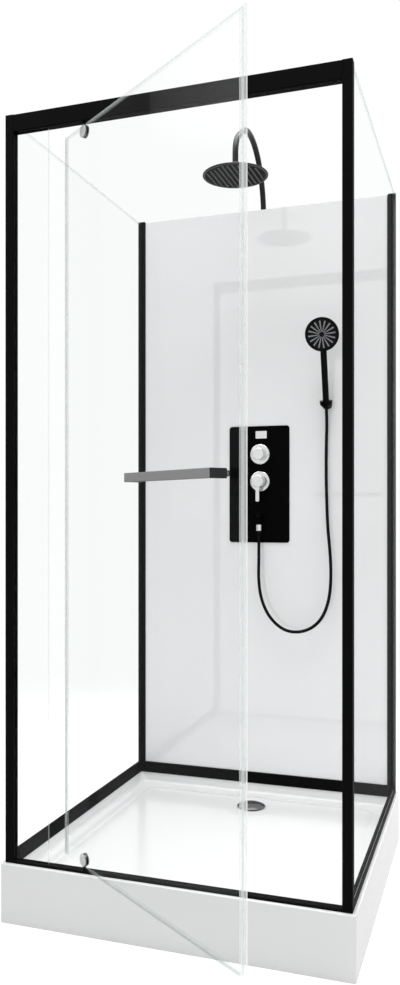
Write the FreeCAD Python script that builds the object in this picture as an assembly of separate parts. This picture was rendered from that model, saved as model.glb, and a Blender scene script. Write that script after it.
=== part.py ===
import FreeCAD, Part
import math
import os

V = FreeCAD.Vector
X_WAY = V(1, 0, 0)
Y_WAY = V(0, 1, 0)
Z_WAY = V(0, 0, 1)

# Shower cabin with one pivoting glass door. Sizes are in millimetres.
# X runs to the right seen from the front, Y from the front to the rear wall, Z up.
# The origin is at the middle of the tray's footprint, on the floor.
# The door stands part open, which is the pose that the model is drawn in.

# Clearances and small shared sizes
overrun = 2.0
seat_gap = 0.3
slide_gap = 0.05
thread_gap = 0.05
match_gap = 0.01
parallel_share = 0.999
nut_sides = 6

# Tray
tray_size = 900.0
tray_height = 150.0
tray_wall = 5.0
tray_corner_radius = 6.0
tray_edge_radius = 3.0
deck_thickness = 5.0
basin_depth = 44.0
basin_draft = 6.0
basin_corner_radius = 9.0
basin_floor_radius = 30.0
basin_foot_radius = 8.0
basin_straight_margin = 3.0
floor_thickness = 9.0
ledge_width = 52.0
ledge_step = 1.2
ledge_slope = 12.0
panel_corner_radius = 30.0
floor_fall = 2.4
dip_radius = 85.0
dip_depth = 1.0
waste_port_radius = 27.0

# Tray support frame and feet
tube_size = 25.0
tube_wall = 2.0
support_side_distance = 150.0
support_end_distance = 58.0
foot_radius = 25.0
foot_thickness = 8.0
foot_edge = 2.0
stem_radius = 6.0
nut_radius = 11.0
nut_height = 10.0
stem_head_room = 3.0

# Drain
drain_x = 4.0
drain_rear_distance = 153.0
waste_hole_radius = 31.0
flange_radius = 42.0
flange_thickness = 1.6
flange_tube_radius = 30.0
flange_tube_wall = 2.5
flange_tube_length = 26.0
gasket_thickness = 2.0
trap_radius = 46.0
trap_wall = 3.0
trap_depth = 66.0
waste_radius = 20.0
waste_length = 58.0
spigot_lift = 1.0
spigot_collar_radius = 25.0
spigot_collar_reach = 5.0
cup_radius = 25.0
cup_wall = 1.6
cup_depth = 48.0
cup_rim_radius = 29.7
cup_stem_radius = 4.0
cover_radius = 44.5
cover_rise = 9.0
cover_thickness = 1.8
cover_gap = 2.0
cover_boss_radius = 6.0
cover_boss_depth = 3.6
cover_bend_share = 0.62
cover_rise_share = 0.84

# Frame
frame_inset = 9.0
frame_rise = 1900.0
post_width = 24.0
post_depth = 22.0
rear_post_depth = 13.0
profile_wall = 2.0
profile_radius = 2.5
top_rail_height = 44.0
threshold_height = 6.0
threshold_radius = 3.5
rail_width = 13.0
rail_height = 19.0
rail_edge_radius = 2.0
lip_thickness = 1.7
lip_drop = 15.0
lip_clearance = 0.3
cap_thickness = 3.0
groove_depth = 10.0
groove_clearance = 0.3
glass_bite = 9.0
threshold_groove = 3.0
threshold_bite = 2.7

# Fixed glass and rear panel
glass_thickness = 5.0
pane_inset = 2.0
panel_inset = 3.0
front_glass_setback = 13.0
strip_width = 94.0
bead_size = 2.4

# Frame screws
screw_head_radius = 3.6
screw_head_height = 1.8
screw_head_edge = 0.9
screw_shank_radius = 2.0
screw_length = 9.0
screw_end_distance = 38.0

# Door
door_open_deg = 35.2
door_tail = 97.0
tail_gap = 2.0
seal_gap = 1.0
seal_reach = 14.0
door_top_gap = 5.5
door_bottom_gap = 7.5
notch_half_width = 7.5
notch_depth = 29.0
notch_radius = 5.0

# Door seals
seal_wall = 1.1
seal_leg = 7.0
nose_thickness = 6.0
nose_flare = 2.0
fin_reach = 13.5
fin_thickness = 0.9
fin_offset = 0.9
drip_leg = 4.0
drip_clearance = 1.2
drip_start = 22.0

# Pivot clamps
disc_radius = 15.5
disc_thickness = 2.4
disc_edge = 0.8
pad_thickness = 0.6
pad_inset = 1.0
disc_edge_distance = 0.5
pin_radius = 3.0
pin_bite = 10.0
pin_depth = 11.0
pin_collar_radius = 4.4
bush_radius = 4.6
bush_length = 20.0
clamp_screw_offset = 4.5
clamp_screw_rise = 9.5
clamp_screw_radius = 1.3
clamp_head_radius = 2.2
clamp_head_height = 1.2
clamp_screw_grip = 1.6

# Handle
handle_bottom = 1107.5
handle_height = 20.0
handle_end_distance = 45.0
handle_length = 315.0
handle_reach = 45.5
handle_bar_thickness = 11.0
handle_leg_width = 13.0
handle_edge_radius = 1.5
washer_thickness = 1.0
handle_hole_radius = 5.0
handle_screw_radius = 3.0
handle_screw_grip = 14.0
handle_cap_radius = 6.0
handle_cap_height = 2.0
handle_cap_edge = 1.0

# Control plate
plate_middle_x = -5.5
plate_width = 206.0
plate_bottom = 938.0
plate_height = 388.0
plate_thickness = 3.0
plate_corner_radius = 10.0
plate_edge = 1.0
badge_middle_x = 2.0
badge_top_distance = 17.0
badge_width = 38.0
badge_height = 24.5
badge_thickness = 1.2
badge_corner_radius = 1.5
badge_groove_margin = 7.0
badge_groove_half_height = 2.5
badge_groove_depth = 0.5

# Valve controls
valve_x = -1.1
diverter_top_distance = 94.5
valve_spacing = 90.0
escutcheon_radius = 33.5
escutcheon_thickness = 8.0
escutcheon_edge = 2.5
sleeve_radius = 17.0
spindle_radius = 5.0
knob_radius = 20.3
knob_length = 28.0
mixer_length = 34.0
knob_edge = 2.0
pointer_width = 7.0
pointer_reach = 9.0
pointer_thickness = 10.0
hub_radius = 18.0
hub_length = 5.0
ball_radius = 15.0
ball_offset = 4.0
cap_wall = 3.5
tilt_room = 3.6
lever_width = 12.0
lever_thickness = 9.0
lever_drop = 67.0
lever_radius = 3.0

# Valve body behind the rear panel
body_gap = 1.5
body_depth = 30.0
body_width = 64.0
body_margin = 26.0
body_edge = 1.5
cartridge_radius = 16.0
cartridge_depth = 24.0
spindle_depth = 14.0
inlet_radius = 10.48
inlet_length = 24.0
inlet_wall = 3.0
collar_radius = 14.0
collar_length = 6.0
feed_radius = 8.0
feed_wall = 1.5

# Hose outlet
outlet_spacing = 118.5
outlet_reach = 22.0
outlet_radius = 10.0
outlet_leg_radius = 9.0
outlet_flange_radius = 16.0
outlet_flange_thickness = 4.0
outlet_flange_edge = 2.5
outlet_drop = 25.0
outlet_bore_radius = 4.0
hose_nut_radius = 8.6
hose_nut_length = 20.0
hose_nut_turn_deg = 30.0

# Hose, whose route is measured from the nut's lower end
hose_radius = 5.2
path_cut_share = 0.45
hose_route = (
    (0.0, 0.0, 0.0),
    (0.0, 0.0, -37.0),
    (1.1, -4.0, -92.0),
    (1.1, -10.0, -162.0),
    (11.1, -14.0, -226.0),
    (40.1, -16.0, -286.0),
    (93.1, -18.0, -328.0),
    (158.1, -18.0, -327.0),
    (210.1, -17.0, -290.0),
    (236.1, -15.0, -226.0),
    (242.6, -12.0, -156.0),
    (239.6, -8.0, -78.0),
    (230.1, -3.0, 7.0),
    (225.6, 2.0, 97.0),
    (223.1, 5.0, 192.0),
    (223.6, 7.0, 284.0),
    (226.6, 1.9, 355.5),
    (226.6, -9.1, 395.0),
)

# Handset and its holder
lean_deg = 15.5
face_tilt_deg = 20.0
cradle_side = 226.6
cradle_forward = 13.0
cradle_rise = 409.0
bowl_top_radius = 20.5
bowl_bottom_radius = 12.5
bowl_bend_radius = 19.5
bowl_bend_height = 9.0
bowl_height = 21.0
cone_top_radius = 12.0
cone_bottom_radius = 9.4
cone_length = 25.0
cone_proud = 4.0
hose_slot_width = 12.0
holder_neck_radius = 8.0
holder_flange_radius = 13.0
holder_flange_thickness = 4.0
holder_flange_edge = 1.5
handle_foot_radius = 10.0
handle_head_radius = 10.2
face_proud = 4.4
handle_tube_length = 165.0
head_radius = 53.5
head_thickness = 15.0
head_dome = 6.0
head_crown_drop = 2.0
head_dome_share = 0.55
head_rim_share = 0.94
head_drop = 46.0
spray_radius = 48.0
spray_thickness = 2.0
spoke_count = 16
spoke_turn_deg = 17.1
spoke_length = 35.0
spoke_root_width = 1.8
spoke_end_width = 5.0
spoke_height = 0.8
spoke_start = 8.0
spray_button_radius = 6.0
spray_button_depth = 0.8

# Riser and swan-neck arm
arm_x = 5.0
arm_radius = 9.0
arm_wall = 1.2
arm_setback = 11.0
arm_straight_drop = 20.0
arm_first_radius = 224.4
arm_first_deg = 40.6
arm_second_radius = 165.0
arm_second_deg = 49.4
arm_third_radius = 125.5
arm_third_deg = 35.0
arm_slope_length = 58.6
arm_last_radius = 77.0
arm_last_deg = 55.0
arm_drop = 33.5
clip_height = 24.0
clip_wall = 4.0
clip_distance = 65.0

# Rain head and its swivel
ball_joint_radius = 9.5
socket_wall = 2.5
socket_depth = 3.5
socket_cup_height = 15.0
rain_radius = 98.0
rain_thickness = 7.0
rain_edge = 2.0
rain_rim_drop = 4.0
rain_crown_share = 0.3
neck_height = 12.0
nozzle_plate_radius = 91.0
nozzle_plate_thickness = 1.2
nozzle_radius = 2.4
nozzle_height = 1.4
nozzle_row_pitch = 14.7
nozzle_pitch = 8.4
nozzle_margin = 5.0

# Places that follow from the sizes above
support_half_width = tray_size / 2 - support_side_distance
support_half_length = tray_size / 2 - support_end_distance
drain_y = tray_size / 2 - drain_rear_distance
deck_z = tray_height
frame_half = tray_size / 2 - frame_inset
frame_top = deck_z + frame_rise
post_inner = frame_half - post_width
front_post_back = -frame_half + post_depth
rear_post_front = frame_half - rear_post_depth
rail_inner = frame_half - rail_width
rail_top = deck_z + rail_height
top_rail_bottom = frame_top - top_rail_height
threshold_top = deck_z + threshold_height
basin_half = rail_inner + lip_thickness + lip_clearance
basin_floor_half = basin_half - basin_draft
basin_floor_z = deck_z - basin_depth
wall_straight_z = deck_z - lip_drop - lip_clearance - basin_straight_margin
floor_under_z = basin_floor_z - floor_thickness
front_glass_y = -frame_half + front_glass_setback
pane_outer = frame_half - pane_inset
pane_inner = pane_outer - glass_thickness
panel_back = frame_half - panel_inset
panel_face = panel_back - glass_thickness
strip_edge = -post_inner + strip_width
pivot_x = strip_edge + tail_gap + door_tail
door_nose = post_inner - seal_gap - seal_reach - pivot_x
handle_near = door_nose - handle_end_distance - handle_length
door_top = top_rail_bottom - door_top_gap
door_bottom = threshold_top + door_bottom_gap
half_glass = glass_thickness / 2
disc_middles = (door_bottom + disc_edge_distance + disc_radius, door_top - disc_edge_distance - disc_radius)
plate_face = panel_face - plate_thickness
plate_top = plate_bottom + plate_height
diverter_z = plate_top - diverter_top_distance
mixer_z = diverter_z - valve_spacing
outlet_z = mixer_z - outlet_spacing
arm_back_y = panel_back + arm_setback
arm_straight_top = frame_top - arm_straight_drop
hose_start = V(valve_x, panel_face - outlet_reach, outlet_z - outlet_drop - hose_nut_length)
cradle = hose_start + V(cradle_side, -cradle_forward, cradle_rise)
drain_floor_z = basin_floor_z - ledge_step - floor_fall - dip_depth


def save(name, shape):
    """Write one piece, or one group of like pieces, under its own name."""
    shape.exportStep("parts/" + name + ".step")
    solids = shape.Solids
    print(name, len(solids), "valid" if shape.isValid() else "BROKEN", round(shape.Volume))


def box(x, y, z):
    """Block between the low and the high value of each pair."""
    return Part.makeBox(x[1] - x[0], y[1] - y[0], z[1] - z[0], V(x[0], y[0], z[0]))


def rod(radius, start, end):
    """Round bar from one point to another."""
    return Part.makeCylinder(radius, (end - start).Length, start, end - start)


def taper(first_radius, last_radius, start, end):
    """Round bar whose radius changes from one end to the other."""
    return Part.makeCone(first_radius, last_radius, (end - start).Length, start, end - start)


def round_edges(shape, radius, chosen):
    """Fillet the edges of a shape for which chosen(edge) is true."""
    edges = [edge for edge in shape.Edges if chosen(edge)]
    return shape.makeFillet(radius, edges) if edges else shape


def runs_along(way):
    """Choose straight edges that run along a direction."""
    def chosen(edge):
        straight = isinstance(edge.Curve, Part.Line)
        return straight and abs(edge.tangentAt(edge.FirstParameter).dot(way)) > parallel_share
    return chosen


def lies_at(place, way):
    """Choose edges that lie wholly in the plane at a place along a direction."""
    def chosen(edge):
        return all(abs(vertex.Point.dot(way) - place) < match_gap for vertex in edge.Vertexes)
    return chosen


def round_rim(centre, radius):
    """Choose the round edge of a given radius about a centre."""
    def chosen(edge):
        if not isinstance(edge.Curve, Part.Circle):
            return False
        near = (edge.Curve.Center - centre).Length < match_gap
        return near and abs(edge.Curve.Radius - radius) < match_gap
    return chosen


def both(first, second):
    """Choose edges that two choosers agree on."""
    return lambda edge: first(edge) and second(edge)


def rounded_square(half, radius, z):
    """Closed outline of a square with round corners."""
    edges = []
    reach = half - radius
    bend = reach + radius * math.sin(math.pi / 4)
    for quarter in range(4):
        turn = FreeCAD.Rotation(Z_WAY, 90 * quarter)
        side_start = turn.multVec(V(half, -reach, z))
        side_end = turn.multVec(V(half, reach, z))
        middle = turn.multVec(V(bend, bend, z))
        corner_end = turn.multVec(V(reach, half, z))
        edges.append(Part.LineSegment(side_start, side_end).toShape())
        edges.append(Part.Arc(side_end, middle, corner_end).toShape())
    return Part.Wire(edges)


def prism(wire, height):
    """Solid above an outline."""
    return Part.Face(wire).extrude(V(0, 0, height))


def polygon(points):
    """Closed face through points."""
    return Part.Face(Part.makePolygon(list(points) + [points[0]]))


def turned(points, centre):
    """Solid turned about the upright axis through a centre: points are (radius, height)."""
    outline = [centre + V(radius, 0, height) for radius, height in points]
    return polygon(outline).revolve(centre, Z_WAY, 360)


def hexagon_bar(radius, turn_deg, foot, height):
    """Upright bar with six sides: radius is to its corners."""
    points = []
    for corner in range(nut_sides):
        angle = math.radians(360 / nut_sides * corner + turn_deg)
        points.append(foot + V(radius * math.cos(angle), radius * math.sin(angle), 0))
    return polygon(points).extrude(V(0, 0, height))


def bored(shape, radius, start, end):
    """Shape with a round hole that overruns both ends."""
    way = (end - start).normalize()
    return shape.cut(rod(radius, start - way * overrun, end + way * overrun))


def mirrored(shape):
    """The same shape on the other side of the cabin."""
    return shape.mirror(V(0, 0, 0), X_WAY)


def tube_along(path, radius):
    """Round solid that follows a wire."""
    start = path.Edges[0].Vertexes[0].Point
    way = path.Edges[0].tangentAt(path.Edges[0].FirstParameter)
    section = Part.Wire([Part.Circle(start, way, radius).toShape()])
    return path.makePipeShell([section], True, False)


# Tray

def make_tray():
    """Acrylic tray with its skirt, basin, falling floor, waste hole and pipe port."""
    outside = prism(rounded_square(tray_size / 2, tray_corner_radius, 0), tray_height)
    outside = round_edges(outside, tray_edge_radius, lies_at(tray_height, Z_WAY))
    inside_half = tray_size / 2 - tray_wall
    hollow_top = tray_height - deck_thickness
    hollow = prism(rounded_square(inside_half, tray_corner_radius, -overrun), hollow_top + overrun)
    bowl_half = basin_half + tray_wall
    bowl = prism(rounded_square(bowl_half, basin_corner_radius, floor_under_z), tray_height - floor_under_z)
    shell = outside.cut(hollow.cut(bowl)).cut(basin_room())
    centre = V(drain_x, drain_y, 0)
    hole = rod(waste_hole_radius, centre, centre + Z_WAY * tray_height)
    port = V(drain_x, tray_size / 2, spigot_middle_z())
    return bored(shell.cut(hole), waste_port_radius, port - Y_WAY * tray_wall, port)


def basin_room():
    """Room of the basin: upright walls, soft foot, sloping ledge, falling floor and dip."""
    mouth = prism(rounded_square(basin_half, basin_corner_radius, wall_straight_z), tray_height)
    slope = Part.makeLoft([
        rounded_square(basin_floor_half, basin_floor_radius, basin_floor_z),
        rounded_square(basin_half, basin_corner_radius, wall_straight_z),
    ], True, True)
    slope = round_edges(slope, basin_foot_radius, lies_at(basin_floor_z, Z_WAY))
    low_half = basin_floor_half - ledge_width
    high_half = low_half + ledge_slope
    step_z = basin_floor_z - ledge_step
    ledge = Part.makeLoft([
        rounded_square(low_half, panel_corner_radius, step_z),
        rounded_square(high_half, panel_corner_radius + ledge_slope, basin_floor_z),
    ], True, True)
    well = prism(rounded_square(low_half, panel_corner_radius, floor_under_z), step_z - floor_under_z)
    fall_radius = math.hypot(high_half + abs(drain_x), high_half + drain_y)
    centre = V(drain_x, drain_y, 0)
    fall = turned(((0, step_z - floor_fall), (fall_radius, step_z), (fall_radius, tray_height),
                   (0, tray_height)), centre)
    dip_top = step_z - floor_fall * (1 - dip_radius / fall_radius)
    dip = turned(((0, drain_floor_z), (flange_radius + overrun, drain_floor_z), (dip_radius, dip_top),
                  (dip_radius, tray_height), (0, tray_height)), centre)
    return mouth.fuse([slope, ledge.fuse(well).common(fall), dip])


def make_support_frame():
    """Welded square-tube frame that the basin rests on."""
    top = floor_under_z
    bottom = top - tube_size
    half = tube_size / 2
    legs = support_half_width
    ends = support_half_length
    outer = []
    inner = []
    for x in (-legs, legs):
        outer.append(box((x - half, x + half), (-ends, ends), (bottom, top)))
        inner.append(box((x - half + tube_wall, x + half - tube_wall), (-ends - overrun, ends + overrun),
                         (bottom + tube_wall, top - tube_wall)))
    for y in (-ends + half, 0, ends - half):
        outer.append(box((-legs, legs), (y - half, y + half), (bottom, top)))
        inner.append(box((-legs, legs), (y - half + tube_wall, y + half - tube_wall),
                         (bottom + tube_wall, top - tube_wall)))
    frame = outer[0].fuse(outer[1:]).cut(inner[0].fuse(inner[1:]))
    for x, y in foot_places():
        frame = bored(frame, stem_radius + thread_gap, V(x, y, bottom), V(x, y, bottom + tube_wall))
    return frame.removeSplitter()


def foot_places():
    """Middles of the five levelling feet."""
    end = support_half_length - tube_size / 2
    return ((0, 0), (-support_half_width, -end), (support_half_width, -end),
            (-support_half_width, end), (support_half_width, end))


def make_foot(x, y):
    """Foot pad with its threaded stem."""
    base = V(x, y, 0)
    pad = Part.makeCylinder(foot_radius, foot_thickness, base)
    pad = round_edges(pad, foot_edge, lies_at(foot_thickness, Z_WAY))
    stem_top = floor_under_z - tube_wall - stem_head_room
    return pad.fuse(rod(stem_radius, base + Z_WAY * foot_edge, V(x, y, stem_top)))


def make_lock_nut(x, y):
    """Hexagon nut under the support frame."""
    top = V(x, y, floor_under_z - tube_size)
    foot = top - Z_WAY * nut_height
    nut = hexagon_bar(nut_radius, 0, foot, nut_height)
    return bored(nut, stem_radius + thread_gap, foot, top)


# Drain

def make_drain_flange():
    """Metal ring that clamps the trap to the tray floor."""
    inner = flange_tube_radius - flange_tube_wall
    top = drain_floor_z + flange_thickness
    low = drain_floor_z - flange_tube_length
    return turned(((inner, top), (flange_radius - flange_thickness, top), (flange_radius, drain_floor_z),
                   (flange_tube_radius, drain_floor_z), (flange_tube_radius, low),
                   (inner, low)), V(drain_x, drain_y, 0))


def make_drain_gasket():
    """Rubber ring between the tray's underside and the trap."""
    low = V(drain_x, drain_y, floor_under_z - gasket_thickness)
    high = low + Z_WAY * gasket_thickness
    return bored(rod(trap_radius, low, high), flange_tube_radius + seat_gap, low, high)


def trap_bottom_z():
    """Height of the trap's underside."""
    return floor_under_z - gasket_thickness - trap_depth


def spigot_middle_z():
    """Height of the waste spigot's axis."""
    return trap_bottom_z() + waste_radius + spigot_lift


def make_trap():
    """Trap body with the collar and the outlet spigot towards the rear."""
    top = floor_under_z - gasket_thickness
    bottom = trap_bottom_z()
    roof = top - trap_wall
    centre = V(drain_x, drain_y, 0)
    start = V(drain_x, drain_y, spigot_middle_z())
    collar_end = start + Y_WAY * (trap_radius + spigot_collar_reach)
    end = collar_end + Y_WAY * waste_length
    body = rod(trap_radius, centre + Z_WAY * bottom, centre + Z_WAY * top)
    collar = rod(spigot_collar_radius, start, collar_end)
    body = body.fuse([collar, rod(waste_radius, start, end)])
    room = rod(trap_radius - trap_wall, centre + Z_WAY * (bottom + trap_wall), centre + Z_WAY * roof)
    body = body.cut(room).cut(rod(waste_radius - trap_wall, start, end + Y_WAY * overrun))
    return bored(body, flange_tube_radius + thread_gap, centre + Z_WAY * roof, centre + Z_WAY * top)


def make_trap_cup():
    """Lift-out cup with the stem that carries the cover."""
    rim_z = drain_floor_z + flange_thickness + seat_gap
    bottom = rim_z - cup_depth
    inner = cup_radius - cup_wall
    cup = turned(((0, bottom), (cup_radius, bottom), (cup_radius, rim_z), (cup_rim_radius, rim_z),
                  (cup_rim_radius, rim_z + cup_wall), (inner, rim_z + cup_wall),
                  (inner, bottom + cup_wall), (0, bottom + cup_wall)), V(drain_x, drain_y, 0))
    stem_foot = V(drain_x, drain_y, bottom + cup_wall / 2)
    return cup.fuse(rod(cup_stem_radius, stem_foot, cover_base() + Z_WAY * (cover_rise - cover_boss_depth)))


def cover_base():
    """Middle of the drain cover's rim plane."""
    return V(drain_x, drain_y, drain_floor_z + flange_thickness + cover_gap)


def make_drain_cover():
    """Domed metal cover over the waste, with the boss that sits on the cup's stem."""
    base = cover_base()
    half = cover_thickness / 2
    bend = cover_radius * cover_bend_share
    bend_rise = cover_rise * cover_rise_share
    boss_bottom = cover_rise - cover_boss_depth
    rim = base + V(cover_radius, 0, half)
    shoulder = base + V(bend, 0, bend_rise)
    crown = base + V(cup_stem_radius, 0, cover_rise)
    crown_middle = base + V(0, 0, cover_rise)
    foot = base + V(cover_radius - half, 0, 0)
    under = base + V(bend - half, 0, bend_rise - cover_thickness)
    root = base + V(cover_boss_radius, 0, cover_rise - cover_thickness)
    boss = base + V(cover_boss_radius, 0, boss_bottom)
    boss_middle = base + V(0, 0, boss_bottom)
    outline = Part.Wire([
        Part.LineSegment(foot, rim).toShape(),
        Part.Arc(rim, shoulder, crown).toShape(),
        Part.LineSegment(crown, crown_middle).toShape(),
        Part.LineSegment(crown_middle, boss_middle).toShape(),
        Part.LineSegment(boss_middle, boss).toShape(),
        Part.LineSegment(boss, root).toShape(),
        Part.Arc(root, under, foot).toShape(),
    ])
    return Part.Face(outline).revolve(base, Z_WAY, 360)


# Frame

def pane_groove(y, z):
    """Room for a side pane in a post or rail on the right."""
    return box((pane_inner - groove_clearance, pane_outer + groove_clearance), y, z)


def front_groove(x, z):
    """Room for the fixed front strip."""
    half = half_glass + groove_clearance
    return box(x, (front_glass_y - half, front_glass_y + half), z)


def panel_groove(x, z):
    """Room for the rear panel."""
    return box(x, (panel_face - groove_clearance, panel_back + groove_clearance), z)


def make_front_post(side):
    """Front corner post, side is -1 on the left and 1 on the right."""
    top = frame_top - cap_thickness
    height = (deck_z, top)
    through = (deck_z - overrun, top + overrun)
    post = box((post_inner, frame_half), (-frame_half, front_post_back), height)
    post = round_edges(post, profile_radius, both(runs_along(Z_WAY), lies_at(-frame_half, Y_WAY)))
    post = post.cut(pane_groove((front_post_back - groove_depth, front_post_back + overrun), through))
    wall = profile_wall
    if side > 0:
        chamber = box((post_inner + wall, pane_inner - groove_clearance - wall),
                      (-frame_half + wall, front_post_back - wall), through)
        return post.cut(chamber)
    inner_end = post_inner + groove_depth
    chamber = box((inner_end + wall, frame_half - wall),
                  (-frame_half + wall, front_post_back - groove_depth - wall), through)
    post = post.cut(chamber).cut(front_groove((post_inner - overrun, inner_end), through))
    return mirrored(post)


def make_rear_post():
    """Rear corner post on the right, open towards the panel and the pane."""
    top = frame_top - cap_thickness
    through = (deck_z - overrun, top + overrun)
    post = box((post_inner, frame_half), (rear_post_front, frame_half), (deck_z, top))
    post = round_edges(post, profile_radius, both(runs_along(Z_WAY), lies_at(frame_half, X_WAY)))
    post = post.cut(pane_groove((rear_post_front - overrun, rear_post_front + groove_depth), through))
    return post.cut(panel_groove((post_inner - overrun, post_inner + groove_depth), through))


def make_post_caps():
    """Caps that close the four posts."""
    height = (frame_top - cap_thickness, frame_top)
    caps = []
    for y, edge_way, place in (
        ((-frame_half, front_post_back), Y_WAY, -frame_half),
        ((rear_post_front, frame_half), X_WAY, frame_half),
    ):
        cap = box((post_inner, frame_half), y, height)
        cap = round_edges(cap, profile_radius, both(runs_along(Z_WAY), lies_at(place, edge_way)))
        caps += [cap, mirrored(cap)]
    return Part.makeCompound(caps)


def make_top_rail():
    """Box section over the door, with the strip's groove and the hole for the pivot pin."""
    wall = profile_wall
    rail = box((-post_inner, post_inner), (-frame_half, front_post_back), (top_rail_bottom, frame_top))
    rail = round_edges(rail, profile_radius, both(runs_along(X_WAY), lies_at(-frame_half, Y_WAY)))
    web = top_rail_bottom + groove_depth + wall
    rail = rail.cut(box((-post_inner - overrun, post_inner + overrun),
                        (-frame_half + wall, front_post_back - wall), (web, frame_top - wall)))
    rail = rail.cut(front_groove((-post_inner - overrun, strip_edge + groove_clearance),
                                 (top_rail_bottom - overrun, top_rail_bottom + groove_depth)))
    start = V(pivot_x, front_glass_y, top_rail_bottom)
    return rail.cut(rod(pin_radius + slide_gap, start - Z_WAY * overrun, start + Z_WAY * pin_bite))


def make_threshold():
    """Low sill under the door."""
    sill = box((-post_inner, post_inner), (-frame_half, front_post_back), (deck_z, threshold_top))
    front_edge = both(lies_at(threshold_top, Z_WAY), lies_at(-frame_half, Y_WAY))
    sill = round_edges(sill, threshold_radius, front_edge)
    sill = sill.cut(front_groove((-post_inner - overrun, strip_edge + groove_clearance),
                                 (threshold_top - threshold_groove, threshold_top + overrun)))
    start = V(pivot_x, front_glass_y, deck_z)
    return bored(sill, pin_radius + slide_gap, start, start + Z_WAY * threshold_height)


def make_side_rail():
    """Rail under the right side pane, with a lip that hangs over the basin wall."""
    y = (front_post_back, rear_post_front)
    rail = box((rail_inner, frame_half), y, (deck_z, rail_top))
    rail = round_edges(rail, rail_edge_radius, both(lies_at(rail_top, Z_WAY), lies_at(frame_half, X_WAY)))
    lip_end = basin_half - basin_corner_radius
    lip = box((rail_inner, rail_inner + lip_thickness), (-lip_end, lip_end), (deck_z - lip_drop, deck_z))
    groove = pane_groove((y[0] - overrun, y[1] + overrun), (rail_top - groove_depth, rail_top + overrun))
    rail = rail.fuse(lip).cut(groove)
    return with_screw_holes(rail, side_screws()).removeSplitter()


def make_rear_rail():
    """Rail under the rear panel, with the same lip."""
    x = (-post_inner, post_inner)
    rail = box(x, (rail_inner, frame_half), (deck_z, rail_top))
    rail = round_edges(rail, rail_edge_radius, both(lies_at(rail_top, Z_WAY), lies_at(frame_half, Y_WAY)))
    lip_end = basin_half - basin_corner_radius
    lip = box((-lip_end, lip_end), (rail_inner, rail_inner + lip_thickness), (deck_z - lip_drop, deck_z))
    groove = panel_groove((x[0] - overrun, x[1] + overrun), (rail_top - groove_depth, rail_top + overrun))
    rail = rail.fuse(lip).cut(groove)
    return with_screw_holes(rail, rear_screws()).removeSplitter()


def side_screws():
    """Head seats and directions of the screws in the right rail."""
    z = deck_z + (rail_height - groove_depth) / 2
    end = rear_post_front - screw_end_distance
    return [(V(rail_inner, y, z), X_WAY) for y in (-end, end)]


def rear_screws():
    """Head seats and directions of the screws in the rear rail."""
    z = deck_z + (rail_height - groove_depth) / 2
    end = post_inner - screw_end_distance
    return [(V(x, rail_inner, z), Y_WAY) for x in (-end, end)]


def with_screw_holes(shape, screws):
    """Shape with the holes that the frame screws go into."""
    radius = screw_shank_radius + thread_gap
    for seat, way in screws:
        shape = shape.cut(rod(radius, seat - way * overrun, seat + way * screw_length))
    return shape


def make_frame_screw(seat, way):
    """Round-head screw whose head sits on a rail."""
    top = seat - way * screw_head_height
    head = round_edges(rod(screw_head_radius, top, seat), screw_head_edge, round_rim(top, screw_head_radius))
    shank_start = seat - way * (screw_head_height - screw_head_edge)
    return head.fuse(rod(screw_shank_radius, shank_start, seat + way * (screw_length - seat_gap)))


def make_frame_screws():
    """All screws that hold the rails to the tray's rim."""
    screws = [make_frame_screw(seat, way) for seat, way in side_screws()]
    screws += [mirrored(screw) for screw in screws]
    screws += [make_frame_screw(seat, way) for seat, way in rear_screws()]
    return Part.makeCompound(screws)


# Fixed glass

def make_side_glass():
    """Right side pane, held in the posts and in its rail."""
    return box((pane_inner, pane_outer), (front_post_back - glass_bite, rear_post_front + glass_bite),
               (rail_top - glass_bite, frame_top - cap_thickness))


def make_strip_glass():
    """Narrow fixed glass between the left post and the door."""
    y = (front_glass_y - half_glass, front_glass_y + half_glass)
    return box((-post_inner - glass_bite, strip_edge), y,
               (threshold_top - threshold_bite, top_rail_bottom + glass_bite))


def make_rear_panel():
    """Glossy rear wall, with holes for the valves and the outlet."""
    panel = box((-post_inner - glass_bite, post_inner + glass_bite), (panel_face, panel_back),
                (rail_top - glass_bite, frame_top - cap_thickness))
    for z, radius in control_holes():
        panel = bored(panel, radius + seat_gap, V(valve_x, panel_face, z), V(valve_x, panel_back, z))
    return panel


def control_holes():
    """Heights and radii of what passes through the plate and the panel."""
    return ((diverter_z, sleeve_radius), (mixer_z, sleeve_radius), (outlet_z, outlet_radius))


def make_beads():
    """Rubber beads along the inner side of the fixed glass."""
    size = bead_size
    inner_x = (pane_inner - size, pane_inner)
    beads = []
    upright = (rail_top + size, frame_top - cap_thickness)
    right = [
        box(inner_x, (front_post_back, rear_post_front), (rail_top, rail_top + size)),
        box(inner_x, (front_post_back, front_post_back + size), upright),
        box(inner_x, (rear_post_front - size, rear_post_front), upright),
    ]
    beads += right + [mirrored(bead) for bead in right]
    inner_y = (panel_face - size, panel_face)
    beads.append(box((-post_inner, post_inner), inner_y, (rail_top, rail_top + size)))
    for x in ((-post_inner, -post_inner + size), (post_inner - size, post_inner)):
        beads.append(box(x, inner_y, upright))
    return Part.makeCompound(beads)


# Door, drawn closed with its pivot axis on the Z axis and then swung open

def hung(shape):
    """Door piece turned to its open pose and moved to the pivot."""
    placed = shape.copy()
    placed.rotate(V(0, 0, 0), Z_WAY, -door_open_deg)
    placed.translate(V(pivot_x, front_glass_y, 0))
    return placed


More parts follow.
